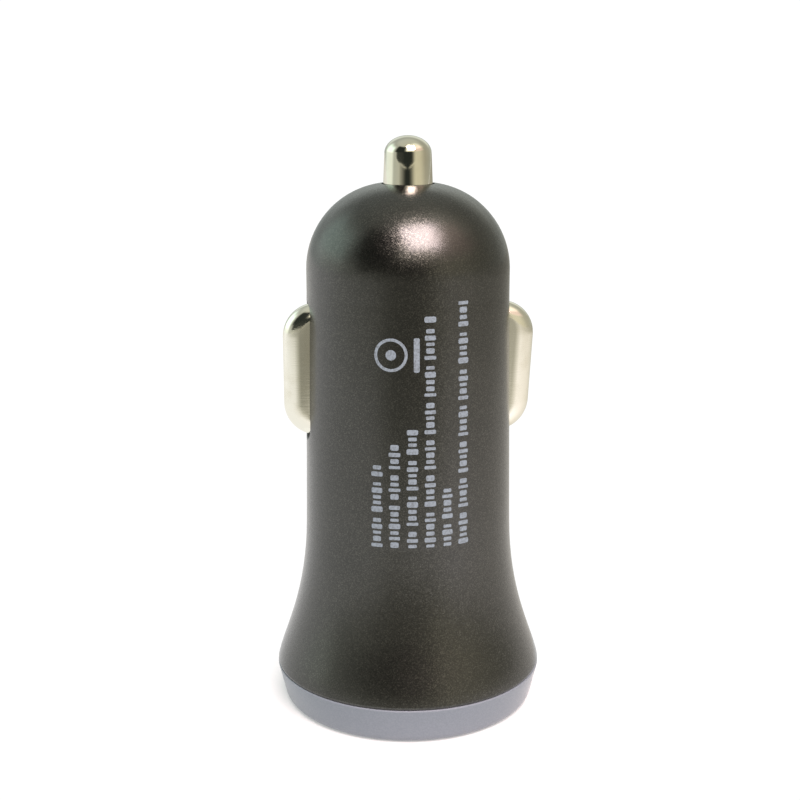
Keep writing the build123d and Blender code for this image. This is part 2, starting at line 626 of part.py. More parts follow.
with BuildPart() as spring_terminal:
    with BuildSketch(Plane.XY.offset(PAD_Z - PAD_SHEET)):
        Circle(PAD_RADIUS)
        with Locations((0, BOARD_FACE_Y / 2)):
            Rectangle(LEG_WIDTH, BOARD_FACE_Y)
    extrude(amount=PAD_SHEET)
    with BuildSketch(Plane.XY.offset(PAD_Z)):
        Circle(COIL_CORE_RADIUS)
    extrude(amount=PAD_BOSS_HEIGHT)
    with BuildSketch(BOARD_FRONT):
        with Locations((0, (leg_low_z + PAD_Z) / 2)):
            Rectangle(LEG_WIDTH, PAD_Z - leg_low_z)
    extrude(amount=PAD_SHEET)
save(spring_terminal, "spring_terminal")

# Tip spring: a coil between the terminal and the tip's flange
coil_rise = COIL_LENGTH - COIL_WIRE

with BuildPart() as tip_spring:
    with BuildLine() as coil:
        Helix(
            pitch=coil_rise / COIL_TURNS,
            height=coil_rise,
            radius=COIL_RADIUS,
            center=(0, 0, PAD_Z + SEAT_GAP + COIL_WIRE / 2),
        )
    with BuildSketch(Plane(origin=coil.line @ 0, z_dir=coil.line % 0)):
        Circle(COIL_WIRE / 2)
    sweep(path=coil.line, is_frenet=True)
save(tip_spring, "tip_spring")

# Tip pin: a turned pin with a low elliptical dome, a flange inside the guide and a stub in the coil
with BuildPart() as tip_pin:
    with BuildSketch(Plane.XZ):
        with BuildLine():
            Bezier(
                (TIP_DOME_RADIUS, TIP_Z - TIP_DOME_HEIGHT),
                (TIP_DOME_RADIUS, TIP_Z - TIP_DOME_HEIGHT * (1 - QUARTER_ELLIPSE)),
                (TIP_DOME_RADIUS * QUARTER_ELLIPSE, TIP_Z),
                (0, TIP_Z),
            )
            Polyline(
                (TIP_DOME_RADIUS, TIP_Z - TIP_DOME_HEIGHT),
                (TIP_RADIUS, NOSE_Z),
                (TIP_RADIUS, FLANGE_TOP_Z),
                (TIP_FLANGE_RADIUS, FLANGE_TOP_Z),
                (TIP_FLANGE_RADIUS, FLANGE_BOTTOM_Z),
                (COIL_CORE_RADIUS, FLANGE_BOTTOM_Z),
                (COIL_CORE_RADIUS, FLANGE_BOTTOM_Z - TIP_STUB_LENGTH),
                (0, FLANGE_BOTTOM_Z - TIP_STUB_LENGTH),
                (0, TIP_Z),
            )
        make_face()
    revolve(axis=Axis.Z)
save(tip_pin, "tip_pin")

# Side contacts: drawn hollow shoes with rounded ends and lips that keep them behind the wall
lip_height = SHOE_LIP + SHOE_SHEET
lip_offset = SHOE_HALF + SHOE_LIP - lip_height / 2

with BuildPart() as shoe:
    with BuildSketch(Plane.XZ) as shoe_outline:
        with Locations((SHOE_BACK + SHOE_DEPTH / 2, CONTACT_Z)):
            Rectangle(SHOE_DEPTH, SHOE_LENGTH)
        fillet(shoe_outline.vertices().group_by(Axis.X)[-1], radius=SHOE_CORNER)
    extrude(amount=SHOE_WIDTH / 2, both=True)
    shoe_edges = shoe.faces().filter_by(Axis.Y).edges()
    fillet(shoe_edges.filter_by(lambda edge: edge.center().X > SHOE_BACK + SHOE_SHEET), radius=SHOE_EDGE)
    offset(amount=-SHOE_SHEET, openings=shoe.faces().sort_by(Axis.X)[0])
    with BuildSketch(Plane.YZ.offset(SHOE_BACK)):
        with Locations((0, CONTACT_Z - lip_offset), (0, CONTACT_Z + lip_offset)):
            Rectangle(SHOE_WIDTH - SHOE_EDGE, lip_height)
    extrude(amount=SHOE_SHEET)

with BuildPart() as ground_contact_left:
    mirror(shoe.part, about=Plane.YZ)
save(ground_contact_left, "ground_contact_left")

# The right shoe leans on its spring: its lower end has settled inwards
lean_axis = Axis((SHOE_REACH, 0, CONTACT_Z + SHOE_LEAN_OFFSET), (0, 1, 0))

with BuildPart() as ground_contact_right:
    add(shoe.part.rotate(lean_axis, SHOE_LEAN).translate((0, 0, -SHOE_DROP)))
save(ground_contact_right, "ground_contact_right")

# Ground springs: bowed leaves that push the shoes out, each on a foot soldered into the board
with BuildPart() as ground_spring_right:
    with BuildSketch(Plane.XZ):
        with BuildLine():
            Line((LEAF_FOOT_X, LEAF_FOOT_Z), (LEAF_FOOT_X, LEAF_LOW_Z - LEAF_BEND))
            TangentArc(
                (LEAF_FOOT_X, LEAF_LOW_Z - LEAF_BEND),
                (LEAF_FOOT_X + LEAF_BEND, LEAF_LOW_Z),
                tangent=(0, 1),
            )
            Line((LEAF_FOOT_X + LEAF_BEND, LEAF_LOW_Z), (LEAF_CENTRE_X, LEAF_LOW_Z))
            CenterArc((LEAF_CENTRE_X, CONTACT_Z), LEAF_RADIUS, start_angle=-90, arc_size=180)
            Line(
                (LEAF_CENTRE_X, CONTACT_Z + LEAF_RADIUS),
                (LEAF_CENTRE_X - LEAF_TOE, CONTACT_Z + LEAF_RADIUS),
            )
        trace(line_width=LEAF_SHEET)
    extrude(amount=LEAF_WIDTH / 2, both=True)
    with BuildSketch(Plane.YZ.offset(LEAF_FOOT_X - LEAF_SHEET / 2)):
        with Locations(((BOARD_BACK_Y + PIN_THROUGH) / 2, foot_z)):
            Rectangle(BOARD_BACK_Y + PIN_THROUGH, LEAF_FOOT_HEIGHT)
    extrude(amount=LEAF_SHEET)
save(ground_spring_right, "ground_spring_right")

with BuildPart() as ground_spring_left:
    mirror(ground_spring_right.part, about=Plane.YZ)
save(ground_spring_left, "ground_spring_left")
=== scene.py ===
"""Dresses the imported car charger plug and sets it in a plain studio.

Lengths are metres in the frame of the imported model: the plug stands on its port face, +Z runs along its
axis to the sprung tip, the side contacts lie on the X axis and the printed marks face -Y. Grain sizes and
reliefs of the finishes are millimetres.
"""

from __future__ import annotations

import logging
from abc import ABC, abstractmethod
from collections.abc import Iterator, Mapping, Sequence
from dataclasses import dataclass
from enum import Enum
from functools import cache
from math import atan, cos, pi, radians, sin
from typing import Any

import bpy
import numpy as np
from numpy.typing import NDArray
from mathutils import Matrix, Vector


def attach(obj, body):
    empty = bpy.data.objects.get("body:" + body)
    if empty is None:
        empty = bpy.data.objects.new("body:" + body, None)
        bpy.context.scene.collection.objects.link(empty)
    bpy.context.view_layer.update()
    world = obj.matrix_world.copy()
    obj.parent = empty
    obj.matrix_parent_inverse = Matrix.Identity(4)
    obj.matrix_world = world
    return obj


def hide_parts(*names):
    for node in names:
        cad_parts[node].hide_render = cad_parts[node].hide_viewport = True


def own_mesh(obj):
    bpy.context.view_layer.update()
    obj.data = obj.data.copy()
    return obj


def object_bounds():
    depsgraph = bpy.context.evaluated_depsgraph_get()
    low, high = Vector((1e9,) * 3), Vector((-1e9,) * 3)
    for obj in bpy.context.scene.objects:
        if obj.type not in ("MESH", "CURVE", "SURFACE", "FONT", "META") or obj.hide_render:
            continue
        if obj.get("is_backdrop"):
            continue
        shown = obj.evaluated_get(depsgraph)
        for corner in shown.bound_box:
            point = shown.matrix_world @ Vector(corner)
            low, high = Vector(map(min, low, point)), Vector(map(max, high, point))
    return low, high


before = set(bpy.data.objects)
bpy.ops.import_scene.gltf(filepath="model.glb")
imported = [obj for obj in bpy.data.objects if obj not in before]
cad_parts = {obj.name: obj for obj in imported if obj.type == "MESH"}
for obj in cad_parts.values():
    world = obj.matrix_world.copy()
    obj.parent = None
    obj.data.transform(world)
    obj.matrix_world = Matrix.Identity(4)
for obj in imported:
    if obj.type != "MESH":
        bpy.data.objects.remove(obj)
CAD_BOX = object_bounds()

Array = NDArray[np.float64]
Faces = list[list[int]]
Solid = tuple[Array, Faces]
Piece = bpy.types.Object
Sockets = Mapping[str | int, Any]
Colour = tuple[float, float, float]
Point = tuple[float, float, float]
Numbers = tuple[float, ...]
Pair = tuple[float, float]
Bounds = tuple[float, float, float, float]
Span = tuple[float, float, int]

MM = 0.001
X_AXIS, Y_AXIS, Z_AXIS = np.eye(3)
SHARP_EDGE = radians(40)
EDGE_STEPS = 4
CAMERA_TURN = radians(8.5)
WHITE = (1.0, 1.0, 1.0, 1.0)
PAGE_STRENGTH = 1.05
# Lower bounds of a band that has no lower edge
NO_EDGE = (-3.0, -2.0)
LOG = logging.getLogger("charger_plug")


class Body(Enum):
    """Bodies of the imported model."""

    CHARGER = "charger"
    TIP = "tip"
    LEFT_CONTACT = "left_contact"
    RIGHT_CONTACT = "right_contact"


class Slot(Enum):
    """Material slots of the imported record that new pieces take."""

    CAP_PLASTIC = "cap_plastic"
    NICKEL = "nickel"
    SPRING_STEEL = "spring_steel"


class Side(Enum):
    """Which side contact: the value is its direction along X."""

    LEFT = -1
    RIGHT = 1


class Value:
    """One output of a node tree; arithmetic on it adds Math nodes to that tree."""

    def __init__(self, graph: Graph, socket: bpy.types.NodeSocket) -> None:
        """Wrap an output socket of the graph."""
        self.graph = graph
        self.socket = socket

    def _math(self, operation: str, first: Value | float, second: Value | float) -> Value:
        """Add one Math node and take its result."""
        return self.graph.node("ShaderNodeMath", {"operation": operation}, {0: first, 1: second})

    def __add__(self, other: Value | float) -> Value:
        """Sum."""
        return self._math("ADD", self, other)

    __radd__ = __add__

    def __rsub__(self, other: float) -> Value:
        """Difference from a number."""
        return self._math("SUBTRACT", other, self)

    def __mul__(self, other: Value | float) -> Value:
        """Product."""
        return self._math("MULTIPLY", self, other)

    __rmul__ = __mul__

    def __pow__(self, other: float) -> Value:
        """Power."""
        return self._math("POWER", self, other)


class Graph:
    """A node tree that is written as expressions."""

    def __init__(self, tree: bpy.types.NodeTree) -> None:
        """Wrap a node tree."""
        self.tree = tree

    def feed(self, node: bpy.types.Node, inputs: Sockets) -> None:
        """Set or link the sockets of a node.

        Args:
            node: node to feed.
            inputs: value or link for each socket, by name or number.
        """
        for key, value in inputs.items():
            if isinstance(value, Value):
                self.tree.links.new(value.socket, node.inputs[key])
            else:
                node.inputs[key].default_value = value

    def node(
        self, kind: str, settings: Sockets | None = None, inputs: Sockets | None = None, output: str | int = 0
    ) -> Value:
        """Add any node.

        Args:
            kind: Blender's name of the node type.
            settings: properties of the node, set first.
            inputs: value or link for each socket, by name or number.
            output: which output to return.

        Returns:
            The chosen output.
        """
        node = self.tree.nodes.new(kind)
        for key, value in (settings or {}).items():
            setattr(node, key, value)
        self.feed(node, inputs or {})
        return Value(self, node.outputs[output])

    def place(self) -> Value:
        """Object coordinates, in metres."""
        return self.node("ShaderNodeTexCoord", output="Object")

    def vector(self, operation: str, first: Value | Point, second: Value | Point) -> Value:
        """Combine two vectors with one Vector Math node."""
        return self.node("ShaderNodeVectorMath", {"operation": operation}, {0: first, 1: second})

    def noise(self, place: Value, size: float, detail: float = 2.0) -> Value:
        """Smooth noise between 0 and 1 with features of about this size, in millimetres."""
        inputs = {"Vector": place, "Scale": 1 / (size * MM), "Detail": detail}
        return self.node("ShaderNodeTexNoise", {}, inputs)

    def step(self, value: Value, low: float, high: float) -> Value:
        """Smooth step from 0 at the low bound to 1 at the high bound."""
        bounds = {"Value": value, "From Min": low, "From Max": high}
        return self.node("ShaderNodeMapRange", {"interpolation_type": "SMOOTHSTEP"}, bounds)

    def band(self, value: Value, bounds: Bounds) -> Value:
        """Soft band: 1 between the two inner bounds and 0 beyond the two outer ones."""
        return self.step(value, *bounds[:2]) * (1 - self.step(value, *bounds[2:]))

    def mix(self, factor: Value, first: Value | Colour, second: Value | Colour) -> Value:
        """Mix two colours."""
        ends = [end if isinstance(end, Value) else (*end, 1.0) for end in (first, second)]
        return self.node("ShaderNodeMix", {"data_type": "RGBA"}, {0: factor, 6: ends[0], 7: ends[1]}, 2)

    def bump(self, height: Value, depth: float) -> Value:
        """Normal of a relief that is this deep, in millimetres, where the height goes from 0 to 1."""
        return self.node("ShaderNodeBump", {}, {"Height": height, "Distance": depth * MM, "Strength": 1.0})

    def blend(self, factor: Value, first: Value, second: Value) -> Value:
        """Mix two shaders."""
        return self.node("ShaderNodeMixShader", {}, {0: factor, 1: first, 2: second})

    def surface(self, shader: Value, output: str = "Material Output") -> None:
        """Link a shader to the output of the tree."""
        self.feed(self.tree.nodes[output], {"Surface": shader})


def new_material(name: str) -> tuple[bpy.types.Material, Graph]:
    """Make a material.

    Args:
        name: its name.

    Returns:
        The material and its node tree.
    """
    material = bpy.data.materials.new(name)
    material.use_nodes = True
    return material, Graph(material.node_tree)


@dataclass(frozen=True)
class Finish(ABC):
    """A surface finish; each kind says how it varies over the surface."""

    name: str
    colour: Colour
    roughness: float

    @abstractmethod
    def sockets(self, graph: Graph) -> Sockets:
        """Values and links of the shader's sockets.

        Args:
            graph: the material's node tree.

        Returns:
            The sockets to set, by name.
        """


@cache
def material_of(finish: Finish) -> bpy.types.Material:
    """Make the material of a finish once.

    Args:
        finish: the finish to make.

    Returns:
        Its material.
    """
    material, graph = new_material(finish.name)
    graph.feed(graph.tree.nodes["Principled BSDF"], finish.sockets(graph))
    return material


@dataclass(frozen=True)
class FlakePaint(Finish):
    """Metallic paint: tilted flakes of two tones under a smooth clear coat."""

    glint: Colour
    flake_size: float
    flake_tilt: float
    cloud_size: float
    coat: float
    coat_roughness: float
    flake_share: float = 0.8
    rarity: float = 3.0

    def sockets(self, graph: Graph) -> Sockets:
        """Each flake is a cell with its own tone and its own lean away from the surface's normal."""
        place = graph.place()
        cells = {"Vector": place, "Scale": 1 / (self.flake_size * MM)}
        flake = graph.node("ShaderNodeTexVoronoi", {}, cells, "Color")
        chance = graph.node("ShaderNodeSeparateColor", {}, {"Color": flake}, "Red")
        cloud = graph.noise(place, self.cloud_size)
        tone = self.flake_share * chance**self.rarity + (1 - self.flake_share) * cloud
        lean = graph.vector("SUBTRACT", flake, (0.5, 0.5, 0.5))
        lean = graph.vector("MULTIPLY", lean, (self.flake_tilt,) * 3)
        upright = graph.node("ShaderNodeNewGeometry", output="Normal")
        leaning = graph.vector("ADD", upright, lean)
        return {
            "Base Color": graph.mix(tone, self.colour, self.glint),
            "Metallic": 1.0,
            "Roughness": self.roughness,
            "Specular Tint": (0.7, 0.7, 0.7, 1.0),
            "Coat Weight": self.coat,
            "Coat Roughness": self.coat_roughness,
            "Coat IOR": 1.55,
            "Normal": graph.vector("NORMALIZE", leaning, (0.0, 0.0, 0.0)),
        }


@dataclass(frozen=True)
class Moulding(Finish):
    """Moulded or sintered material: speckled colour over a fine eroded relief."""

    speckle: Colour
    grain: float
    relief: float
    sheen: float = 0.0
    edges: Pair = (0.35, 0.7)
    cloud_grains: float = 24.0
    uneven: float = 0.05

    def sockets(self, graph: Graph) -> Sockets:
        """Fine noise sets the speckle and the relief, broad noise shifts the roughness."""
        place = graph.place()
        fine = graph.noise(place, self.grain, detail=3.0)
        broad = graph.noise(place, self.cloud_grains * self.grain)
        return {
            "Base Color": graph.mix(graph.step(fine, *self.edges), self.colour, self.speckle),
            "Roughness": self.roughness - self.uneven + 2 * self.uneven * broad,
            "Sheen Weight": self.sheen,
            "Sheen Roughness": 0.35,
            "Normal": graph.bump(fine, self.relief),
        }


@dataclass(frozen=True)
class Metal(Finish):
    """Bare or plated metal with drawn lines along one direction and faint handling marks."""

    stain: Colour
    grain: Point
    smudge: float
    relief: float
    streak: float = 0.1
    edges: Pair = (0.45, 0.75)

    def sockets(self, graph: Graph) -> Sockets:
        """Noise drawn out along the grain sets the relief and the roughness; broad noise adds the marks."""
        place = graph.place()
        lines = graph.noise(graph.vector("DIVIDE", place, self.grain), 1.0, detail=3.0)
        marks = graph.step(graph.noise(place, self.smudge, detail=4.0), *self.edges)
        return {
            "Base Color": graph.mix(marks, self.colour, self.stain),
            "Metallic": 1.0,
            "Roughness": self.roughness + self.streak * lines + self.streak * marks,
            "Normal": graph.bump(lines, self.relief),
        }


@dataclass(frozen=True)
class SolderMask(Finish):
    """Circuit board lacquer over copper areas that show through it as a lighter green."""

    copper_tone: Colour
    trace_size: float
    mottle_size: float
    copper_height: float
    edges: Pair = (0.48, 0.5)
    uneven: float = 0.08

    def sockets(self, graph: Graph) -> Sockets:
        """Noise with a hard edge stands for the outlines of the copper areas."""
        place = graph.place()
        copper = graph.step(graph.noise(place, self.trace_size, detail=0.0), *self.edges)
        return {
            "Base Color": graph.mix(copper, self.colour, self.copper_tone),
            "Roughness": self.roughness + self.uneven * graph.noise(place, self.mottle_size),
            "Normal": graph.bump(copper, self.copper_height),
        }


@dataclass(frozen=True)
class PrintInk(Finish):
    """Pad-printed ink with a slightly uneven film."""

    thin: Colour
    film_size: float
    edges: Pair = (0.25, 0.6)
    uneven: float = 0.1

    def sockets(self, graph: Graph) -> Sockets:
        """Noise sets how well the film covers the paint."""
        film = graph.noise(graph.place(), self.film_size, detail=3.0)
        cover = graph.step(film, *self.edges)
        return {
            "Base Color": graph.mix(cover, self.thin, self.colour),
            "Roughness": self.roughness + self.uneven * film,
        }


BODY_PAINT = FlakePaint(
    "body_paint",
    (0.0308, 0.0308, 0.0265),
    roughness=0.29,
    glint=(0.096, 0.094, 0.081),
    flake_size=0.085,
    flake_tilt=0.14,
    cloud_size=4,
    coat=0.75,
    coat_roughness=0.22,
)
CAP_MOULDING = Moulding(
    "cap_moulding",
    (0.180, 0.2036, 0.2394),
    roughness=0.52,
    speckle=(0.206, 0.2306, 0.268),
    grain=0.16,
    relief=0.012,
    sheen=0.3,
)
NICKEL = Metal(
    "nickel_plate",
    (0.76, 0.735, 0.62),
    roughness=0.014,
    stain=(0.70, 0.67, 0.55),
    grain=(1.6, 1.6, 0.09),
    smudge=2.2,
    relief=0.00005,
    streak=0.010,
)
DRAWN_NICKEL = Metal(
    "drawn_nickel",
    (0.87, 0.845, 0.735),
    roughness=0.06,
    stain=(0.80, 0.77, 0.65),
    grain=(1.1, 1.1, 0.07),
    smudge=1.6,
    relief=0.0032,
    streak=0.05,
)
SPRING_STEEL = Metal(
    "spring_wire",
    (0.56, 0.55, 0.52),
    roughness=0.2,
    stain=(0.40, 0.38, 0.34),
    grain=(0.1, 0.1, 0.4),
    smudge=1.5,
    relief=0.002,
    streak=0.12,
)
PORT_STEEL = Metal(
    "tinned_sheet",
    (0.70, 0.70, 0.69),
    roughness=0.18,
    stain=(0.58, 0.58, 0.57),
    grain=(0.08, 0.08, 2.5),
    smudge=1.8,
    relief=0.0015,
)
CONTACT_BRASS = Metal(
    "plated_brass",
    (0.83, 0.63, 0.28),
    roughness=0.14,
    stain=(0.70, 0.49, 0.19),
    grain=(0.08, 0.08, 1.5),
    smudge=1.2,
    relief=0.001,
    streak=0.08,
)
CAN_ALUMINIUM = Metal(
    "drawn_can",
    (0.72, 0.72, 0.73),
    roughness=0.22,
    stain=(0.62, 0.62, 0.63),
    grain=(0.1, 0.1, 3.0),
    smudge=2.5,
    relief=0.002,
)
COPPER_WIRE = Metal(
    "enamelled_copper",
    (0.62, 0.26, 0.10),
    roughness=0.2,
    stain=(0.44, 0.16, 0.06),
    grain=(0.8, 0.07, 0.8),
    smudge=1.0,
    relief=0.004,
)
PORT_MOULDING = Moulding(
    "port_moulding",
    (0.78, 0.78, 0.75),
    roughness=0.42,
    speckle=(0.84, 0.84, 0.82),
    grain=0.12,
    relief=0.006,
)
CHIP_MOULDING = Moulding(
    "chip_moulding",
    (0.018, 0.018, 0.019),
    roughness=0.5,
    speckle=(0.035, 0.035, 0.036),
    grain=0.06,
    relief=0.008,
)
CHIP_CERAMIC = Moulding(
    "chip_ceramic",
    (0.40, 0.26, 0.14),
    roughness=0.45,
    speckle=(0.48, 0.33, 0.20),
    grain=0.08,
    relief=0.004,
)
FUSE_CERAMIC = Moulding(
    "fuse_ceramic",
    (0.70, 0.69, 0.64),
    roughness=0.4,
    speckle=(0.77, 0.76, 0.72),
    grain=0.1,
    relief=0.004,
)
FERRITE = Moulding(
    "ferrite",
    (0.022, 0.022, 0.022),
    roughness=0.6,
    speckle=(0.05, 0.05, 0.05),
    grain=0.1,
    relief=0.015,
)
BOARD_LACQUER = SolderMask(
    "board_lacquer",
    (0.010, 0.075, 0.028),
    roughness=0.28,
    copper_tone=(0.028, 0.15, 0.058),
    trace_size=2.4,
    mottle_size=0.48,
    copper_height=0.03,
)
INK = PrintInk(
    "print_ink",
    (0.208, 0.250, 0.292),
    roughness=0.42,
    thin=(0.126, 0.146, 0.163),
    film_size=0.2,
)


def unit(angle: Array) -> Array:
    """Directions in a plane at angles from its first axis."""
    return np.stack([np.cos(angle), np.sin(angle)], axis=-1)


def cylindrical(radius: Array | float, angle: Array, height: Array | float) -> Array:
    """Points by distance from the Z axis, angle round it and height, each spread over the others."""
    parts = np.broadcast_arrays(radius * np.cos(angle), radius * np.sin(angle), height)
    return np.stack(parts, axis=-1).reshape(-1, 3)


def grid_quads(rows: int, columns: int, closed: bool = False) -> Faces:
    """Faces of a grid of points numbered row by row.

    Args:
        rows: points along the first parameter.
        columns: points along the second parameter.
        closed: whether the last column joins the first.

    Returns:
        Four point numbers for each face.
    """
    spans = columns if closed else columns - 1
    row, column = np.meshgrid(np.arange(rows - 1), np.arange(spans), indexing="ij")
    after = (column + 1) % columns
    corners = (row * columns + column, row * columns + after)
    ahead = ((row + 1) * columns + after, (row + 1) * columns + column)
    return np.stack([*corners, *ahead], axis=-1).reshape(-1, 4).tolist()


def two_sided(front: Faces, rims: Sequence[NDArray[np.int64]], count: int) -> Faces:
    """Faces of a sheet whose back repeats the points of its front, this many numbers later.

    Args:
        front: faces of the front; the back has them turned over.
        rims: closed lines of point numbers along which quads join the two.
        count: number of points of the front.

    Returns:
        All the faces.
    """
    back = [[count + index for index in face[::-1]] for face in front]
    walls = [np.stack([rim[:-1], rim[:-1] + count, rim[1:] + count, rim[1:]], axis=-1) for rim in rims]
    return front + back + np.concatenate(walls).tolist()


def swept(path: Array, across: Array, upward: Array, profile: Array) -> Solid:
    """Carry a closed profile along a path and close both ends.

    Each point is a point of the path, plus the profile's first coordinate along the across direction there,
    plus its second along the upward direction.

    Args:
        path: points of the path.
        across: direction of the profile's first coordinate, one for all points or one for each.
        upward: direction of the profile's second coordinate, likewise.
        profile: the closed profile's points.

    Returns:
        Points and faces of the solid.
    """
    rows, columns = len(path), len(profile)
    sideways = across[..., None, :] * profile[:, :1]
    points = path[:, None] + sideways + upward[..., None, :] * profile[:, 1:]
    ends = [list(range(columns))[::-1], list(range((rows - 1) * columns, rows * columns))]
    return points.reshape(-1, 3), grid_quads(rows, columns, closed=True) + ends


def rounded_strip(width: float, thickness: float, edge: float) -> Array:
    """Closed outline of a strip with rounded long edges.

    Each corner is a quarter circle of the edge radius about a centre set in from the corner by that radius.

    Args:
        width: size along the first coordinate.
        thickness: size along the second coordinate.
        edge: corner radius.

    Returns:
        The outline's points.
    """
    turn = np.linspace(0, pi / 2, EDGE_STEPS + 1)
    angles = (np.arange(4)[:, None] * pi / 2 + turn).ravel()
    signs = np.repeat([[1, 1], [-1, 1], [-1, -1], [1, -1]], turn.size, axis=0)
    return signs * (np.array([width, thickness]) / 2 - edge) + edge * unit(angles)


def soft_band(value: Array, bounds: Bounds) -> Array:
    """Soft band over an array: 1 between the two inner bounds and 0 beyond the two outer ones.

    Each flank is the smooth step 3 t squared less 2 t cubed of the share t of the way across it.

    Args:
        value: the numbers to look up.
        bounds: the four bounds, from low to high.

    Returns:
        The band at each number.
    """
    low, inner_low, inner_high, high = bounds
    shares = np.clip([(value - low) / (inner_low - low), (high - value) / (high - inner_high)], 0, 1)
    flanks = shares**2 * (3 - 2 * shares)
    return flanks[0] * flanks[1]


def make_mesh(name: str, parts: Sequence[Solid], material: bpy.types.Material) -> Piece:
    """Put a surface into the scene.

    Args:
        name: name of the object.
        parts: points of each of its parts, and faces as point numbers.
        material: its material.

    Returns:
        The new object, at the origin.
    """
    points = np.concatenate([part[0] for part in parts])
    starts = np.cumsum([0] + [len(part[0]) for part in parts])
    faces = [[start + index for index in face] for start, part in zip(starts, parts) for face in part[1]]
    mesh = bpy.data.meshes.new(name)
    mesh.from_pydata(points.tolist(), [], faces)
    mesh.shade_smooth()
    mesh.set_sharp_from_angle(angle=SHARP_EDGE)
    mesh.materials.append(material)
    piece = bpy.data.objects.new(name, mesh)
    bpy.context.scene.collection.objects.link(piece)
    return piece


def dress(finish: Finish, *nodes: str) -> Iterator[str]:
    """Give CAD nodes a finish.

    Args:
        finish: the finish.
        nodes: names of the nodes.

    Yields:
        The name of each node.
    """
    for node in nodes:
        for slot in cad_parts[node].material_slots:
            slot.material = material_of(finish)
        yield node


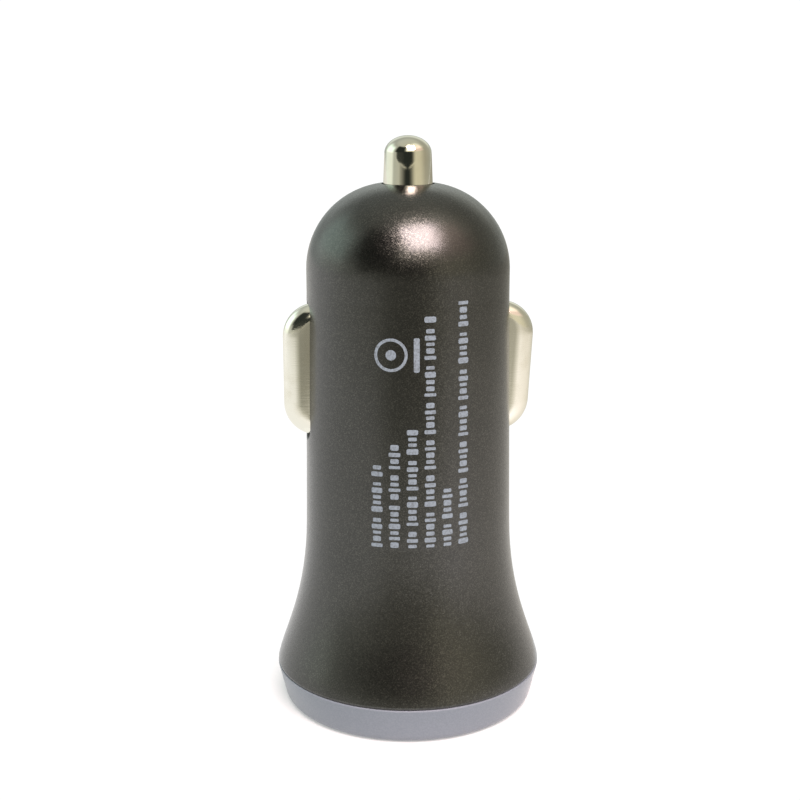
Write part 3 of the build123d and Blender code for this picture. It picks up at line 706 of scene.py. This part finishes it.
@dataclass
class Shell:
    """Painted housing and blue-grey end cap, with the printed block on the barrel."""

    waist_z: float = 19.15 * MM
    waist_radius: float = 10.59 * MM
    land_z: float = 43.05 * MM
    land_radius: float = 10.2 * MM
    print_low: float = 19.5 * MM
    line_first: float = radians(-115.1)
    line_pitch: float = radians(9.48)
    line_tops: Numbers = (28.2, 30.3, 31.4, 42.3, 26.0, 43.9)
    block_sizes: Numbers = (0.36, 0.52, 0.30, 0.46, 0.40, 0.56, 0.33)
    block_heights: Numbers = (1.14, 0.82, 0.82, 1.08, 0.82)
    block_gap: float = 0.22 * MM
    word_gap: float = 0.62 * MM
    word_counts: tuple[int, ...] = (5, 7, 3, 6, 4)
    bar_corner: float = 0.3
    bar_rows: int = 6
    bar_columns: int = 7
    mark_angle: float = radians(-107.6)
    mark_z: float = 38.5 * MM
    mark_radius: float = 1.6 * MM
    mark_stroke: float = 0.28 * MM
    mark_dot: float = 0.5 * MM
    dot_hole: float = 0.01 * MM
    ring_rows: int = 4
    ring_columns: int = 64
    rule_angle: float = radians(-93.9)
    rule_length: float = 3.3 * MM
    rule_height: float = 0.56 * MM
    ink_proud: float = 0.012 * MM
    ink_sunk: float = 0.03 * MM

    def film(self, along: Array, across: Array, angle: float, closed: bool = False) -> Solid:
        """Lay a thin ink film on the barrel.

        A point at a height and an arc length from the film's middle line sits at the angle of that line plus
        arc length over radius, at the film's thickness off the barrel, whose radius goes straight from the
        waist to the land. The back lies a little below the paint, and strips close the edges.

        Args:
            along: grid of heights.
            across: grid of arc lengths.
            angle: direction of the middle line.
            closed: whether the last column joins the first.

        Returns:
            Points and faces of the film.
        """
        rows, columns = along.shape
        radius = np.interp(along, (self.waist_z, self.land_z), (self.waist_radius, self.land_radius))
        levels = (radius + self.ink_proud, radius - self.ink_sunk)
        layers = [cylindrical(level, angle + across / radius, along) for level in levels]
        number = np.arange(along.size).reshape(rows, columns)
        if closed:
            rims = [np.append(edge, edge[0]) for edge in (number[0], number[-1, ::-1])]
        else:
            rims = [np.concatenate([number[0], number[1:, -1], number[-1, -2::-1], number[-2::-1, 0]])]
        return np.concatenate(layers), two_sided(grid_quads(rows, columns, closed), rims, number.size)

    def bar(self, low: float, high: float, height: float, angle: float) -> Solid:
        """Printed bar that runs up the barrel, with rounded ends.

        Near each end its half height is less by what a quarter circle leaves out of the corner.

        Args:
            low: height of its lower end.
            high: height of its upper end.
            height: size round the barrel.
            angle: direction of its middle line.

        Returns:
            Points and faces of the bar.
        """
        corner = self.bar_corner * min(height, high - low)
        bend = corner * (1 - np.cos(np.linspace(0, pi / 2, self.bar_rows)))
        stations = np.concatenate([low + bend, high - bend[::-1]])
        depth = np.clip(np.minimum(stations - low, high - stations), 0, corner)
        half = height / 2 - corner + np.sqrt(corner**2 - (corner - depth) ** 2)
        across = half[:, None] * np.linspace(-1, 1, self.bar_columns)
        return self.film(stations[:, None] + 0 * across, across, angle)

    def ring(self, inner: float, outer: float) -> Solid:
        """Printed ring round the mark's centre: circles from the outer to the inner radius.

        Args:
            inner: inner radius.
            outer: outer radius.

        Returns:
            Points and faces of the ring.
        """
        radii = np.linspace(outer, inner, self.ring_rows)[:, None]
        turn = np.linspace(0, 2 * pi, self.ring_columns, endpoint=False)
        along = self.mark_z + radii * np.sin(turn)
        return self.film(along, radii * np.cos(turn), self.mark_angle, closed=True)

    def words(self) -> Iterator[Solid]:
        """Rows of plain blocks that stand for printed lines, in groups, up to the top of each line."""
        count = 0
        for line, top in enumerate(self.line_tops):
            angle = self.line_first + line * self.line_pitch
            low = self.print_low
            left_in_word = self.word_counts[line % len(self.word_counts)]
            while (high := low + self.block_sizes[count % len(self.block_sizes)] * MM) <= top * MM:
                yield self.bar(low, high, self.block_heights[count % len(self.block_heights)] * MM, angle)
                count += 1
                left_in_word -= 1
                low = high + (self.block_gap if left_in_word else self.word_gap)
                left_in_word = left_in_word or self.word_counts[count % len(self.word_counts)]

    def build(self) -> Iterator[str]:
        """Dress the housing and the cap and print the marks."""
        yield from dress(BODY_PAINT, "housing")
        yield from dress(CAP_MOULDING, "end_cap")
        half = self.rule_length / 2
        parts = [
            *self.words(),
            self.ring(self.mark_radius - self.mark_stroke, self.mark_radius),
            self.ring(self.dot_hole, self.mark_dot),
            self.bar(self.mark_z - half, self.mark_z + half, self.rule_height, self.rule_angle),
        ]
        marks = make_mesh("printed_marks", parts, material_of(INK))
        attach(marks, Body.CHARGER.value)
        yield marks.name


@dataclass
class TipContact:
    """Sprung centre contact: the pin, the coil behind it and the terminal that the coil stands on.

    The foot lists the radius and height, in millimetres, of the pin's corners below its taper.
    """

    foot: tuple[Pair, ...] = ((1.8, 49.44), (1.8, 50.84), (3.3, 50.84), (3.3, 52.04), (2.46, 52.04))
    pin_radius: float = 2.46 * MM
    dome_radius: float = 2.34 * MM
    dome_height: float = 1.7 * MM
    dome_low: float = 56.79 * MM
    dome_end: float = 0.49 * pi
    taper_low: float = 53.79 * MM
    pin_rows: int = 48
    pin_columns: int = 144
    coil_radius: float = 2.25 * MM
    wire_radius: float = 0.25 * MM
    coil_low: float = 40.39 * MM
    coil_high: float = 50.79 * MM
    turns: float = 6.5
    travel: float = 3.0 * MM
    steps_per_turn: int = 48
    wire_steps: int = 14

    def pin(self) -> Piece:
        """Turned pin: a profile carried round the axis.

        The profile goes along the foot and up the taper, then over a dome: its radius goes with the cosine of
        an angle and its height with the sine, from the angle at which it leans as the taper does.

        Returns:
            The pin.
        """
        slope = (self.pin_radius - self.dome_radius) / (self.dome_low - self.taper_low)
        start = atan(slope * self.dome_height / self.dome_radius)
        rise = np.linspace(start, self.dome_end, self.pin_rows)[1:]
        foot = np.array(self.foot) * MM
        taper_ends = (self.pin_radius, self.taper_low), (self.dome_radius, self.dome_low)
        dome_share = (np.sin(rise) - sin(start)) / (1 - sin(start))
        dome_radii = self.dome_radius * np.cos(rise) / cos(start)
        dome = np.stack([dome_radii, self.dome_low + self.dome_height * dome_share], axis=-1)
        profile = np.concatenate([foot, np.linspace(*taper_ends, self.pin_rows), dome])
        turn = np.linspace(0, 2 * pi, self.pin_columns, endpoint=False)
        points = cylindrical(profile[:, :1], turn, profile[:, 1:])
        number = np.arange(len(points)).reshape(-1, self.pin_columns)
        ends = [number[0, ::-1].tolist(), number[-1].tolist()]
        faces = grid_quads(len(profile), self.pin_columns, closed=True) + ends
        pin = make_mesh("contact_pin", [(points, faces)], material_of(NICKEL))
        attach(pin, Body.TIP.value)
        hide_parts("tip_pin")
        return pin

    def coil(self) -> Piece:
        """Round wire carried along a helix.

        The path turns evenly while it rises from the lower seat to the upper one, and the wire's circle lies
        across it, between the outward direction and the one square to both.

        Returns:
            The coil.
        """
        share = np.linspace(0, 1, int(self.turns * self.steps_per_turn) + 1)
        turn = 2 * pi * self.turns * share
        low = self.coil_low + self.wire_radius
        rise = self.coil_high - self.wire_radius - low
        path = cylindrical(self.coil_radius, turn, low + rise * share)
        outward = cylindrical(1.0, turn, 0.0)
        ahead = cylindrical(1.0, turn + pi / 2, rise / (2 * pi * self.turns * self.coil_radius))
        ahead /= np.linalg.norm(ahead, axis=1, keepdims=True)
        wire = self.wire_radius * unit(np.linspace(0, 2 * pi, self.wire_steps, endpoint=False))
        solid = swept(path, outward, np.cross(ahead, outward), wire)
        coil = make_mesh("tip_coil", [solid], material_of(SPRING_STEEL))
        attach(coil, Body.CHARGER.value)
        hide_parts("tip_spring")
        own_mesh(coil)
        return coil

    def build(self) -> Iterator[str]:
        """Turn the pin, dress the terminal and wind the coil."""
        yield self.pin().name
        yield from dress(CONTACT_BRASS, "spring_terminal")
        yield self.coil().name


@dataclass
class SideContact:
    """Sprung side contact: the drawn shoe and the bowed leaf that pushes it out."""

    side: Side
    lean: float = 0.0
    drop: float = 0.0
    lean_z: float = 33.83 * MM
    reach: float = 12.68 * MM
    back: float = 6.98 * MM
    length: float = 13.56 * MM
    shoe_width: float = 3.2 * MM
    corner: float = 3.4 * MM
    corner_points: int = 49
    across_points: int = 57
    face_crown: float = 2.2 * MM
    end_crown: float = 1.5 * MM
    wall: float = 0.45 * MM
    lip: float = 0.9 * MM
    lip_width: float = 1.8 * MM
    bow_radius: float = 5.3 * MM
    bow_x: float = 6.5 * MM
    bow_z: float = 35.33 * MM
    bow_points: int = 41
    bend_radius: float = 0.6 * MM
    bend_points: int = 9
    toe: float = 1.4 * MM
    foot_x: float = 3.9 * MM
    foot_low: float = 27.43 * MM
    foot_high: float = 29.43 * MM
    foot_back: float = 4.86 * MM
    width: float = 1.0 * MM
    sheet: float = 0.3 * MM
    edge: float = 0.08 * MM
    travel: float = 2.0 * MM

    def skin(self, inset: float) -> Array:
        """Grid of the shoe's outer skin, or of the one that lies this far inside it.

        The rows follow the shoe's outline, seen from the front: out along the lower end, round a corner, up
        the face, round the other corner and back. Each row is half an ellipse from side to side: the sideways
        coordinate is less the half width times the cosine of an angle, and the depth below the outline is the
        crown times one less its sine. The crown is deep on the face and shallow at the ends.

        Args:
            inset: distance inside the outer skin.

        Returns:
            Points by row and column.
        """
        corner, half = self.corner - inset, self.length / 2 - inset
        quarter = np.linspace(0, pi / 2, self.corner_points)
        out = unit(np.concatenate([[-pi / 2], quarter - pi / 2, quarter, [pi / 2]]))
        middle = np.full_like(out, self.reach - inset - corner)
        middle[[0, -1], 0] = self.back
        heights = (self.bow_z - half + corner, self.bow_z + half - corner)
        middle[:, 1] = np.repeat(heights, self.corner_points + 1)
        crown = self.face_crown * out[:, 0] ** 2 + self.end_crown * out[:, 1] ** 2 - inset
        across = np.linspace(0, pi, self.across_points)
        depth = corner - crown[:, None] * (1 - np.sin(across))
        aside = (inset - self.shoe_width / 2) * np.cos(across) + 0 * depth
        plane = middle[:, None] + depth[..., None] * out[:, None]
        return np.stack([plane[..., 0], aside, plane[..., 1]], axis=-1)

    def placed(self, points: Array) -> Array:
        """Lean points about a line on the shoe's face, lower them and turn them to the contact's side.

        Args:
            points: points of an upright shoe on the right.

        Returns:
            The points in place.
        """
        along, aside, height = points.T
        along, height = along - self.reach, height - self.lean_z
        leaning = along * cos(self.lean) + height * sin(self.lean) + self.reach
        height = height * cos(self.lean) - along * sin(self.lean) + self.lean_z - self.drop
        return np.stack([self.side.value * leaning, self.side.value * aside, height], axis=-1)

    def shoe(self) -> Piece:
        """Drawn shoe: two skins with their flat sides, a rim that joins them at the back, and two lips.

        Returns:
            The shoe.
        """
        skins = [self.skin(inset) for inset in (0.0, self.wall)]
        rows, columns = skins[0].shape[:2]
        number = np.arange(rows * columns).reshape(rows, columns)
        outer = grid_quads(rows, columns) + [number[:, 0].tolist(), number[::-1, -1].tolist()]
        rim = np.concatenate([number[0], number[-1, ::-1], number[0, :1]])
        parts = [(np.concatenate(skins).reshape(-1, 3), two_sided(outer, [rim], number.size))]
        profile = rounded_strip(self.wall, self.lip_width, self.edge)
        for end in (-1, 1):
            tips = self.bow_z + end * self.length / 2 + np.sort([-end * self.wall, end * self.lip])
            line = (self.back + self.wall / 2) * X_AXIS + tips[:, None] * Z_AXIS
            parts.append(swept(line, X_AXIS, Y_AXIS, profile))
        parts = [(self.placed(points), faces) for points, faces in parts]
        name = self.side.name.lower()
        shoe = make_mesh(f"contact_shoe_{name}", parts, material_of(DRAWN_NICKEL))
        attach(shoe, Body[f"{self.side.name}_CONTACT"].value)
        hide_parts(f"ground_contact_{name}")
        return shoe

    def centre_line(self) -> tuple[Array, Array]:
        """Path of the leaf in the plane of its bow, turned to the contact's side.

        It runs up the foot, round a quarter circle, along a straight, round the half circle of the bow and
        back along the toe. The second array is the direction square to the path in that plane.

        Returns:
            Points of the path and the square direction at each.
        """
        quarter = unit(np.linspace(pi, pi / 2, self.bend_points))
        half = unit(np.linspace(-pi / 2, pi / 2, self.bow_points))
        start = [(self.foot_x, self.foot_low)]
        bend = self.bend_radius * quarter + (self.foot_x + self.bend_radius, self.foot_high)
        bow = self.bow_radius * half + (self.bow_x, self.bow_z)
        end = [(self.bow_x - self.toe, self.bow_z + self.bow_radius)]
        path = np.concatenate([start, bend, bow, end])
        square = np.concatenate([[(-1.0, 0.0)], quarter, -half, [(0.0, -1.0)]])
        plane = np.stack([self.side.value * X_AXIS, Z_AXIS])
        return path @ plane, square @ plane

    def leaf(self) -> Piece:
        """Sheet strip carried along the leaf's line, with a foot that reaches back through the board.

        Returns:
            The leaf.
        """
        path, upward = self.centre_line()
        sign = self.side.value
        strip = swept(path, sign * Y_AXIS, upward, rounded_strip(self.width, self.sheet, self.edge))
        depth = np.array([self.width / 2 - 2 * self.edge, self.foot_back])
        middle = (self.foot_low + self.foot_high) / 2
        foot_path = sign * self.foot_x * X_AXIS + depth[:, None] * Y_AXIS + middle * Z_AXIS
        tall = rounded_strip(self.foot_high - self.foot_low, self.sheet, self.edge)
        foot = swept(foot_path, sign * Z_AXIS, sign * X_AXIS, tall)
        name = self.side.name.lower()
        leaf = make_mesh(f"ground_leaf_{name}", [strip, foot], material_of(SPRING_STEEL))
        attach(leaf, Body.CHARGER.value)
        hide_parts(f"ground_spring_{name}")
        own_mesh(leaf)
        return leaf

    def build(self) -> Iterator[str]:
        """Draw the shoe and bend the leaf."""
        yield self.shoe().name
        yield self.leaf().name


@dataclass
class Port:
    """USB port: folded shell, moulded tongue and contact strips."""

    shell: Finish = PORT_STEEL
    tongue: Finish = PORT_MOULDING
    strips: Finish = CONTACT_BRASS

    def build(self) -> Iterator[str]:
        """Dress the port's nodes."""
        yield from dress(self.shell, "usb_shell")
        yield from dress(self.tongue, "usb_tongue")
        yield from dress(self.strips, "usb_contacts")


@dataclass
class Board:
    """Circuit board and what is soldered to it."""

    lacquer: Finish = BOARD_LACQUER

    def build(self) -> Iterator[str]:
        """Dress the board and its parts."""
        yield from dress(self.lacquer, "main_board")
        yield from dress(CAN_ALUMINIUM, "input_capacitor", "output_capacitor")
        yield from dress(FERRITE, "inductor_core")
        yield from dress(COPPER_WIRE, "inductor_winding")
        yield from dress(CHIP_MOULDING, "converter_ic", "rectifier_diode", "chip_resistors")
        yield from dress(CHIP_CERAMIC, "chip_capacitors")
        yield from dress(FUSE_CERAMIC, "input_fuse")


def heading(turn: Array | float) -> Array | float:
    """Angle round the Z axis of a turn from the camera's side towards the right of the picture."""
    return turn - pi / 2 - CAMERA_TURN


def toward(turn: float) -> Array:
    """Level direction from the axis at such a turn."""
    angle = heading(turn)
    return np.array([cos(angle), sin(angle), 0.0])


def reflected_only(piece: Piece) -> None:
    """Leave a piece of the studio to reflections alone."""
    for ray in ("camera", "diffuse", "shadow"):
        setattr(piece, f"visible_{ray}", False)


@dataclass
class Studio:
    """Pale floor, soft light and camera."""

    camera_distance: float = 133.98 * MM
    camera_height: float = 63.38 * MM
    camera_pitch: float = radians(13.27)
    camera_near: float = 10 * MM
    image_width: float = 800.0
    focal_pixels: float = 1340.7
    axis_offset: float = 8.0
    sensor: float = 36.0
    key_turn: float = radians(20.5)
    key_rise: float = radians(52.8)
    key_distance: float = 0.9
    key_width: float = 0.52
    key_height: float = 0.51
    key_radiance: float = 14.0
    key_colour: Colour = (0.985, 0.80, 0.84)
    paper: Colour = (0.86, 0.86, 0.86)
    floor_radii: Numbers = (0.0001, 0.05, 0.1, 0.2, 0.4, 0.8, 2.0)
    floor_columns: int = 96
    floor_gap: float = 0.02 * MM
    fade: Pair = (8 * MM, 20 * MM)

    def camera(self) -> None:
        """Set the camera where the photograph was taken from."""
        data = bpy.data.cameras.new("camera")
        data.sensor_width = self.sensor
        data.lens = self.focal_pixels * self.sensor / self.image_width
        data.shift_x = -self.axis_offset / self.image_width
        data.clip_start = self.camera_near
        camera = bpy.data.objects.new("camera", data)
        camera.location = self.camera_distance * toward(0.0) + self.camera_height * Z_AXIS
        camera.rotation_euler = (pi / 2 - self.camera_pitch, 0.0, -CAMERA_TURN)
        bpy.context.scene.collection.objects.link(camera)
        bpy.context.scene.camera = camera

    def key(self) -> None:
        """Set one large soft light in front of the plug and above it."""
        data = bpy.data.lights.new("key", "AREA")
        data.shape = "RECTANGLE"
        data.size = self.key_width
        data.size_y = self.key_height
        data.energy = self.key_radiance * pi * self.key_width * self.key_height
        data.color = self.key_colour
        light = bpy.data.objects.new("key", data)
        away = cos(self.key_rise) * toward(self.key_turn) + sin(self.key_rise) * Z_AXIS
        light.location = self.key_distance * away
        light.rotation_euler = (pi / 2 - self.key_rise, 0.0, self.key_turn - CAMERA_TURN)
        bpy.context.scene.collection.objects.link(light)

    def floor(self) -> None:
        """Lay the floor: rings of a disc that go from plain paper to the white of the surround."""
        material, graph = new_material("floor_paper")
        paper = graph.tree.nodes["Principled BSDF"]
        graph.feed(paper, {"Base Color": (*self.paper, 1.0), "Roughness": 0.9, "Specular IOR Level": 0.0})
        distance = graph.node("ShaderNodeVectorMath", {"operation": "LENGTH"}, {0: graph.place()}, "Value")
        glow = graph.node("ShaderNodeEmission", {}, {"Color": WHITE, "Strength": PAGE_STRENGTH})
        graph.surface(graph.blend(graph.step(distance, *self.fade), Value(graph, paper.outputs[0]), glow))
        radii = np.array(self.floor_radii)[:, None]
        turn = np.linspace(0, 2 * pi, self.floor_columns, endpoint=False)
        disc = cylindrical(radii, turn, -self.floor_gap), grid_quads(radii.size, turn.size, closed=True)
        floor = make_mesh("floor", [disc], material)
        floor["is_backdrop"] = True

    def build(self) -> Iterator[str]:
        """Set the camera and the light and lay the floor."""
        bpy.context.scene.view_settings.view_transform = "Standard"
        self.camera()
        self.key()
        self.floor()
        yield "studio"


@dataclass
class Table:
    """Painted reflection of the table: a disc round the plug with a glow of its own that only reflections
    see.

    The glow is listed by bearing, in degrees from the camera's side towards the right, at three reaches.
    """

    start: float = 24 * MM
    end: float = 1.9
    lift: float = 0.05 * MM
    rows: int = 40
    columns: int = 144
    reaches: Numbers = (0.06, 0.15, 0.35)
    bearings: Numbers = (-138.0, -100.0, -55.0, -38.0, -14.0, 18.0, 48.0, 100.0, 150.0)
    near: Numbers = (0.99, 1.00, 1.00, 1.00, 1.02, 1.26, 1.36, 0.94, 0.80)
    middle: Numbers = (0.98, 1.04, 0.98, 0.93, 0.25, 0.23, 1.03, 0.90, 0.67)
    far: Numbers = (0.92, 1.10, 0.66, 0.48, 0.30, 0.28, 0.74, 0.48, 0.36)
    warmth: Numbers = (0.06, 0.0, -0.05, 0.0)
    blue: Numbers = (0.0, 0.0, 0.2, 0.0)

    def build(self) -> Iterator[str]:
        """Lay the table: the lists are read off by bearing and blended by the logarithm of the radius.

        The painted glow is warmer towards the right of the picture and less blue where the painted reflection
        is dark.
        """
        material, graph = new_material("painted_table_reflection")
        colour = graph.node("ShaderNodeAttribute", {"attribute_name": "glow"}, {}, "Color")
        graph.surface(graph.node("ShaderNodeEmission", {}, {"Color": colour}))
        bearing = np.linspace(-180, 180, self.columns, endpoint=False)
        radii = np.geomspace(self.start, self.end, self.rows)
        points = cylindrical(radii[:, None], heading(np.radians(bearing)), self.lift)
        disc = points, grid_quads(self.rows, self.columns, closed=True)
        card = make_mesh("table_reflection_disc", [disc], material)
        # The glow levels are a painted reflection of the table: painted shade ahead on the camera's side past
        # the nearest reach, brighter elsewhere.
        lists = (self.near, self.middle, self.far)
        rings = np.stack([np.interp(bearing, self.bearings, levels, period=360) for levels in lists])
        reaches = np.log(self.reaches)
        shares = np.stack([np.interp(np.log(radii), reaches, weights) for weights in np.eye(3)], axis=-1)
        level = (shares @ rings)[..., None]
        right = (0.5 + 0.5 * np.sin(np.radians(bearing)))[:, None]
        glow = level * (1 + right * np.array(self.warmth)) * (1 + (level - 1) * np.array(self.blue))
        layer = card.data.attributes.new("glow", "FLOAT_COLOR", "POINT")
        layer.data.foreach_set("color", glow.astype(np.float32).ravel())
        reflected_only(card)
        card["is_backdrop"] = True
        yield card.name


@dataclass(frozen=True)
class Patch:
    """A field with soft edges, as the plug sees it.

    Its bearing goes in degrees from the camera's side towards the right of the picture, and its rise is the
    sine of the height above the horizon. The gain is its strength.
    """

    bearing: Bounds
    rise: Bounds
    gain: float = 1.0

    def shaded(self, graph: Graph, bearing: Value, rise: Value) -> Value:
        """The field as shader maths."""
        return graph.band(bearing, self.bearing) * graph.band(rise, self.rise)

    def sampled(self, bearing: Array, rise: Array) -> Array:
        """The field over arrays."""
        return soft_band(bearing, self.bearing) * soft_band(rise, self.rise)


@dataclass
class Shade:
    """Painted dark reflection on the camera's side that only reflections see: part of a dome round the tip.

    Its cover is a tall field on the camera's left, a low one that reaches past it on the right and, under a
    thin gap that wavers with the bearing, a slim one.
    """

    radius: float = 0.28
    height: float = 56 * MM
    columns: Span = (-80.0, 56.0, 137)
    fine_rows: Span = (-0.05, 0.03, 161)
    coarse_rows: Span = (0.035, 0.9, 70)
    tall: Patch = Patch((-72, -58, -22, -8), (0.16, 0.28, 0.76, 0.88))
    low: Patch = Patch((-65, -50, 17, 40), (-0.0008, 0.0008, 0.26, 0.44))
    slim: Patch = Patch((-46, -8, 2, 40), (-0.064, -0.050, -0.0008, 0.0008))
    dense: Bounds = (-32, -14, 8, 26)
    leak: float = 0.045
    gap_bearings: Numbers = (-46.0, -31.0, -17.0, -2.0, 12.0, 26.0)
    gap_tops: Numbers = (0.0176, 0.0195, 0.0188, 0.0170, 0.0197, 0.0209)
    gap_floors: Numbers = (0.0162, 0.0162, 0.0162, 0.0174, 0.0171, 0.0189)
    # Colour of the painted dark reflection, given off as light.
    reflection_dark: Colour = (0.026, 0.030, 0.026)

    def build(self) -> Iterator[str]:
        """Stand the shape: each point is the dome's middle plus its radius along a bearing and a rise.

        The low field's rise counts from the top of the gap and the slim field's from its floor. Away from its
        dense middle the low field leaks a little.
        """
        material, graph = new_material("painted_dark_reflection")
        share = graph.node("ShaderNodeAttribute", {"attribute_name": "cover"}, {}, "Fac")
        # Dark emission paints the reflection of the camera's side where the cover is whole; elsewhere rays
        # pass through.
        reflection_dark = graph.node("ShaderNodeEmission", {}, {"Color": (*self.reflection_dark, 1.0)})
        graph.surface(graph.blend(share, graph.node("ShaderNodeBsdfTransparent"), reflection_dark))
        bearing = np.linspace(*self.columns)[None]
        rise = np.concatenate([np.linspace(*self.fine_rows), np.linspace(*self.coarse_rows)])[:, None]
        dome = cylindrical(np.sqrt(1 - rise**2), heading(np.radians(bearing)), rise)
        part = self.radius * dome + self.height * Z_AXIS, grid_quads(rise.size, bearing.size)
        shade = make_mesh("shade", [part], material)
        over = rise - np.interp(bearing, self.gap_bearings, self.gap_tops)
        under = rise - np.interp(bearing, self.gap_bearings, self.gap_floors)
        tall, slim = self.tall.sampled(bearing, rise), self.slim.sampled(bearing, under)
        density = 1 - self.leak + self.leak * soft_band(bearing, self.dense)
        cover = 1 - (1 - tall) * (1 - slim) * (1 - density * self.low.sampled(bearing, over))
        layer = shade.data.attributes.new("cover", "FLOAT", "POINT")
        layer.data.foreach_set("value", cover.astype(np.float32).ravel())
        reflected_only(shade)
        shade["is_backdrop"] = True
        yield shade.name


@dataclass
class Surround:
    """Light from all round: a bright window on the left, paler fields elsewhere and a page behind it all."""

    ambient: float = 0.44
    window: Patch = Patch((-145, -118, -88, -68), (*NO_EDGE, 0.50, 0.80), 0.65)
    pane: Patch = Patch((-145, -118, -88, -68), (0.03, 0.20, 0.50, 0.80), 0.45)
    window_gain: float = 0.97
    window_edges: Pair = (0.08, 0.30)
    window_tint: Colour = (0.87, 1.06, 0.99)
    wall: Patch = Patch((6, 32, 55, 95), (*NO_EDGE, 0.30, 0.60), 0.26)
    bounce: Patch = Patch((20, 45, 80, 120), (0.50, 0.72, 0.92, 1.0), 0.5)
    lamp: Patch = Patch((-11, -5, 26, 36), (0.30, 0.38, 0.965, 0.99), 1.1)
    left: Patch = Patch((-90, -75, -45, -35), (*NO_EDGE, 0.10, 0.30), 0.12)
    flush: Patch = Patch((28, 46, 76, 100), (0.30, 0.45, 0.75, 0.90), 0.3)
    flush_tint: Colour = (1.20, 0.94, 0.82)
    rear_edges: Pair = (0.55, 0.85)
    rear_rise: Bounds = (0.22, 0.36, 0.58, 0.74)
    rear_gain: float = 0.10
    rear_band_gain: float = 0.30
    top_edges: Pair = (0.70, 0.95)
    top_gain: float = 0.16
    warm: Colour = (1.08, 1.0, 0.76)
    cool: Colour = (0.95, 1.03, 1.0)
    warm_right: float = 0.30
    warm_ahead: float = 0.35

    def build(self) -> Iterator[str]:
        """Make the world: the fields add up for reflections and light, and the camera sees a plain page."""
        world = bpy.data.worlds.new("surround")
        world.use_nodes = True
        bpy.context.scene.world = world
        graph = Graph(world.node_tree)
        direction = graph.node("ShaderNodeTexCoord", output="Generated")
        dot = {"operation": "DOT_PRODUCT"}
        right, ahead, rise = (
            graph.node("ShaderNodeVectorMath", dot, {0: direction, 1: tuple(axis)}, "Value")
            for axis in (toward(pi / 2), toward(0.0), Z_AXIS)
        )
        turn = graph.node("ShaderNodeMath", {"operation": "ARCTAN2"}, {0: right, 1: ahead})
        view = (graph, turn * (180 / pi), rise)
        window = self.window.gain * self.window.shaded(*view) + self.pane.gain * self.pane.shaded(*view)
        flush = self.flush.shaded(*view)
        strength = self.ambient + self.window_gain * window + self.flush.gain * flush
        for patch in (self.wall, self.bounce, self.lamp, self.left):
            strength = strength + patch.gain * patch.shaded(*view)
        rear = self.rear_gain + self.rear_band_gain * graph.band(rise, self.rear_rise)
        strength = strength + rear * graph.step(0 - ahead, *self.rear_edges)
        strength = strength + self.top_gain * graph.step(rise, *self.top_edges)
        coolness = 0.5 - (self.warm_right * right + self.warm_ahead * ahead)
        tint = graph.mix(coolness, self.warm, self.cool)
        tint = graph.mix(window * graph.step(rise, *self.window_edges), tint, self.window_tint)
        tint = graph.mix(flush, tint, self.flush_tint)
        soft = graph.node("ShaderNodeBackground", {}, {"Color": tint, "Strength": strength})
        page = graph.node("ShaderNodeBackground", {}, {"Color": WHITE, "Strength": PAGE_STRENGTH})
        seen = graph.node("ShaderNodeLightPath", output="Is Camera Ray")
        graph.surface(graph.blend(seen, soft, page), "World Output")
        yield world.name


def write_sizes() -> None:
    """Gather the box of the CAD model and the box of the dressed model as plain lists."""
    boxes = {"cad": CAD_BOX, "visual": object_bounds()}
    plain = {name: [list(map(float, corner)) for corner in box] for name, box in boxes.items()}


def main() -> None:
    """Build the sub-assemblies in order and report each piece."""
    logging.basicConfig(level=logging.INFO, format="%(name)s: %(message)s")
    contacts = [SideContact(Side.LEFT), SideContact(Side.RIGHT, lean=radians(3.3), drop=0.38 * MM)]
    studio = [Studio(), Table(), Shade(), Surround()]
    for assembly in (Shell(), TipContact(), *contacts, Port(), Board(), *studio):
        for piece in assembly.build():
            LOG.info("%s: %s", type(assembly).__name__, piece)
    write_sizes()


if __name__ == "__main__":
    main()
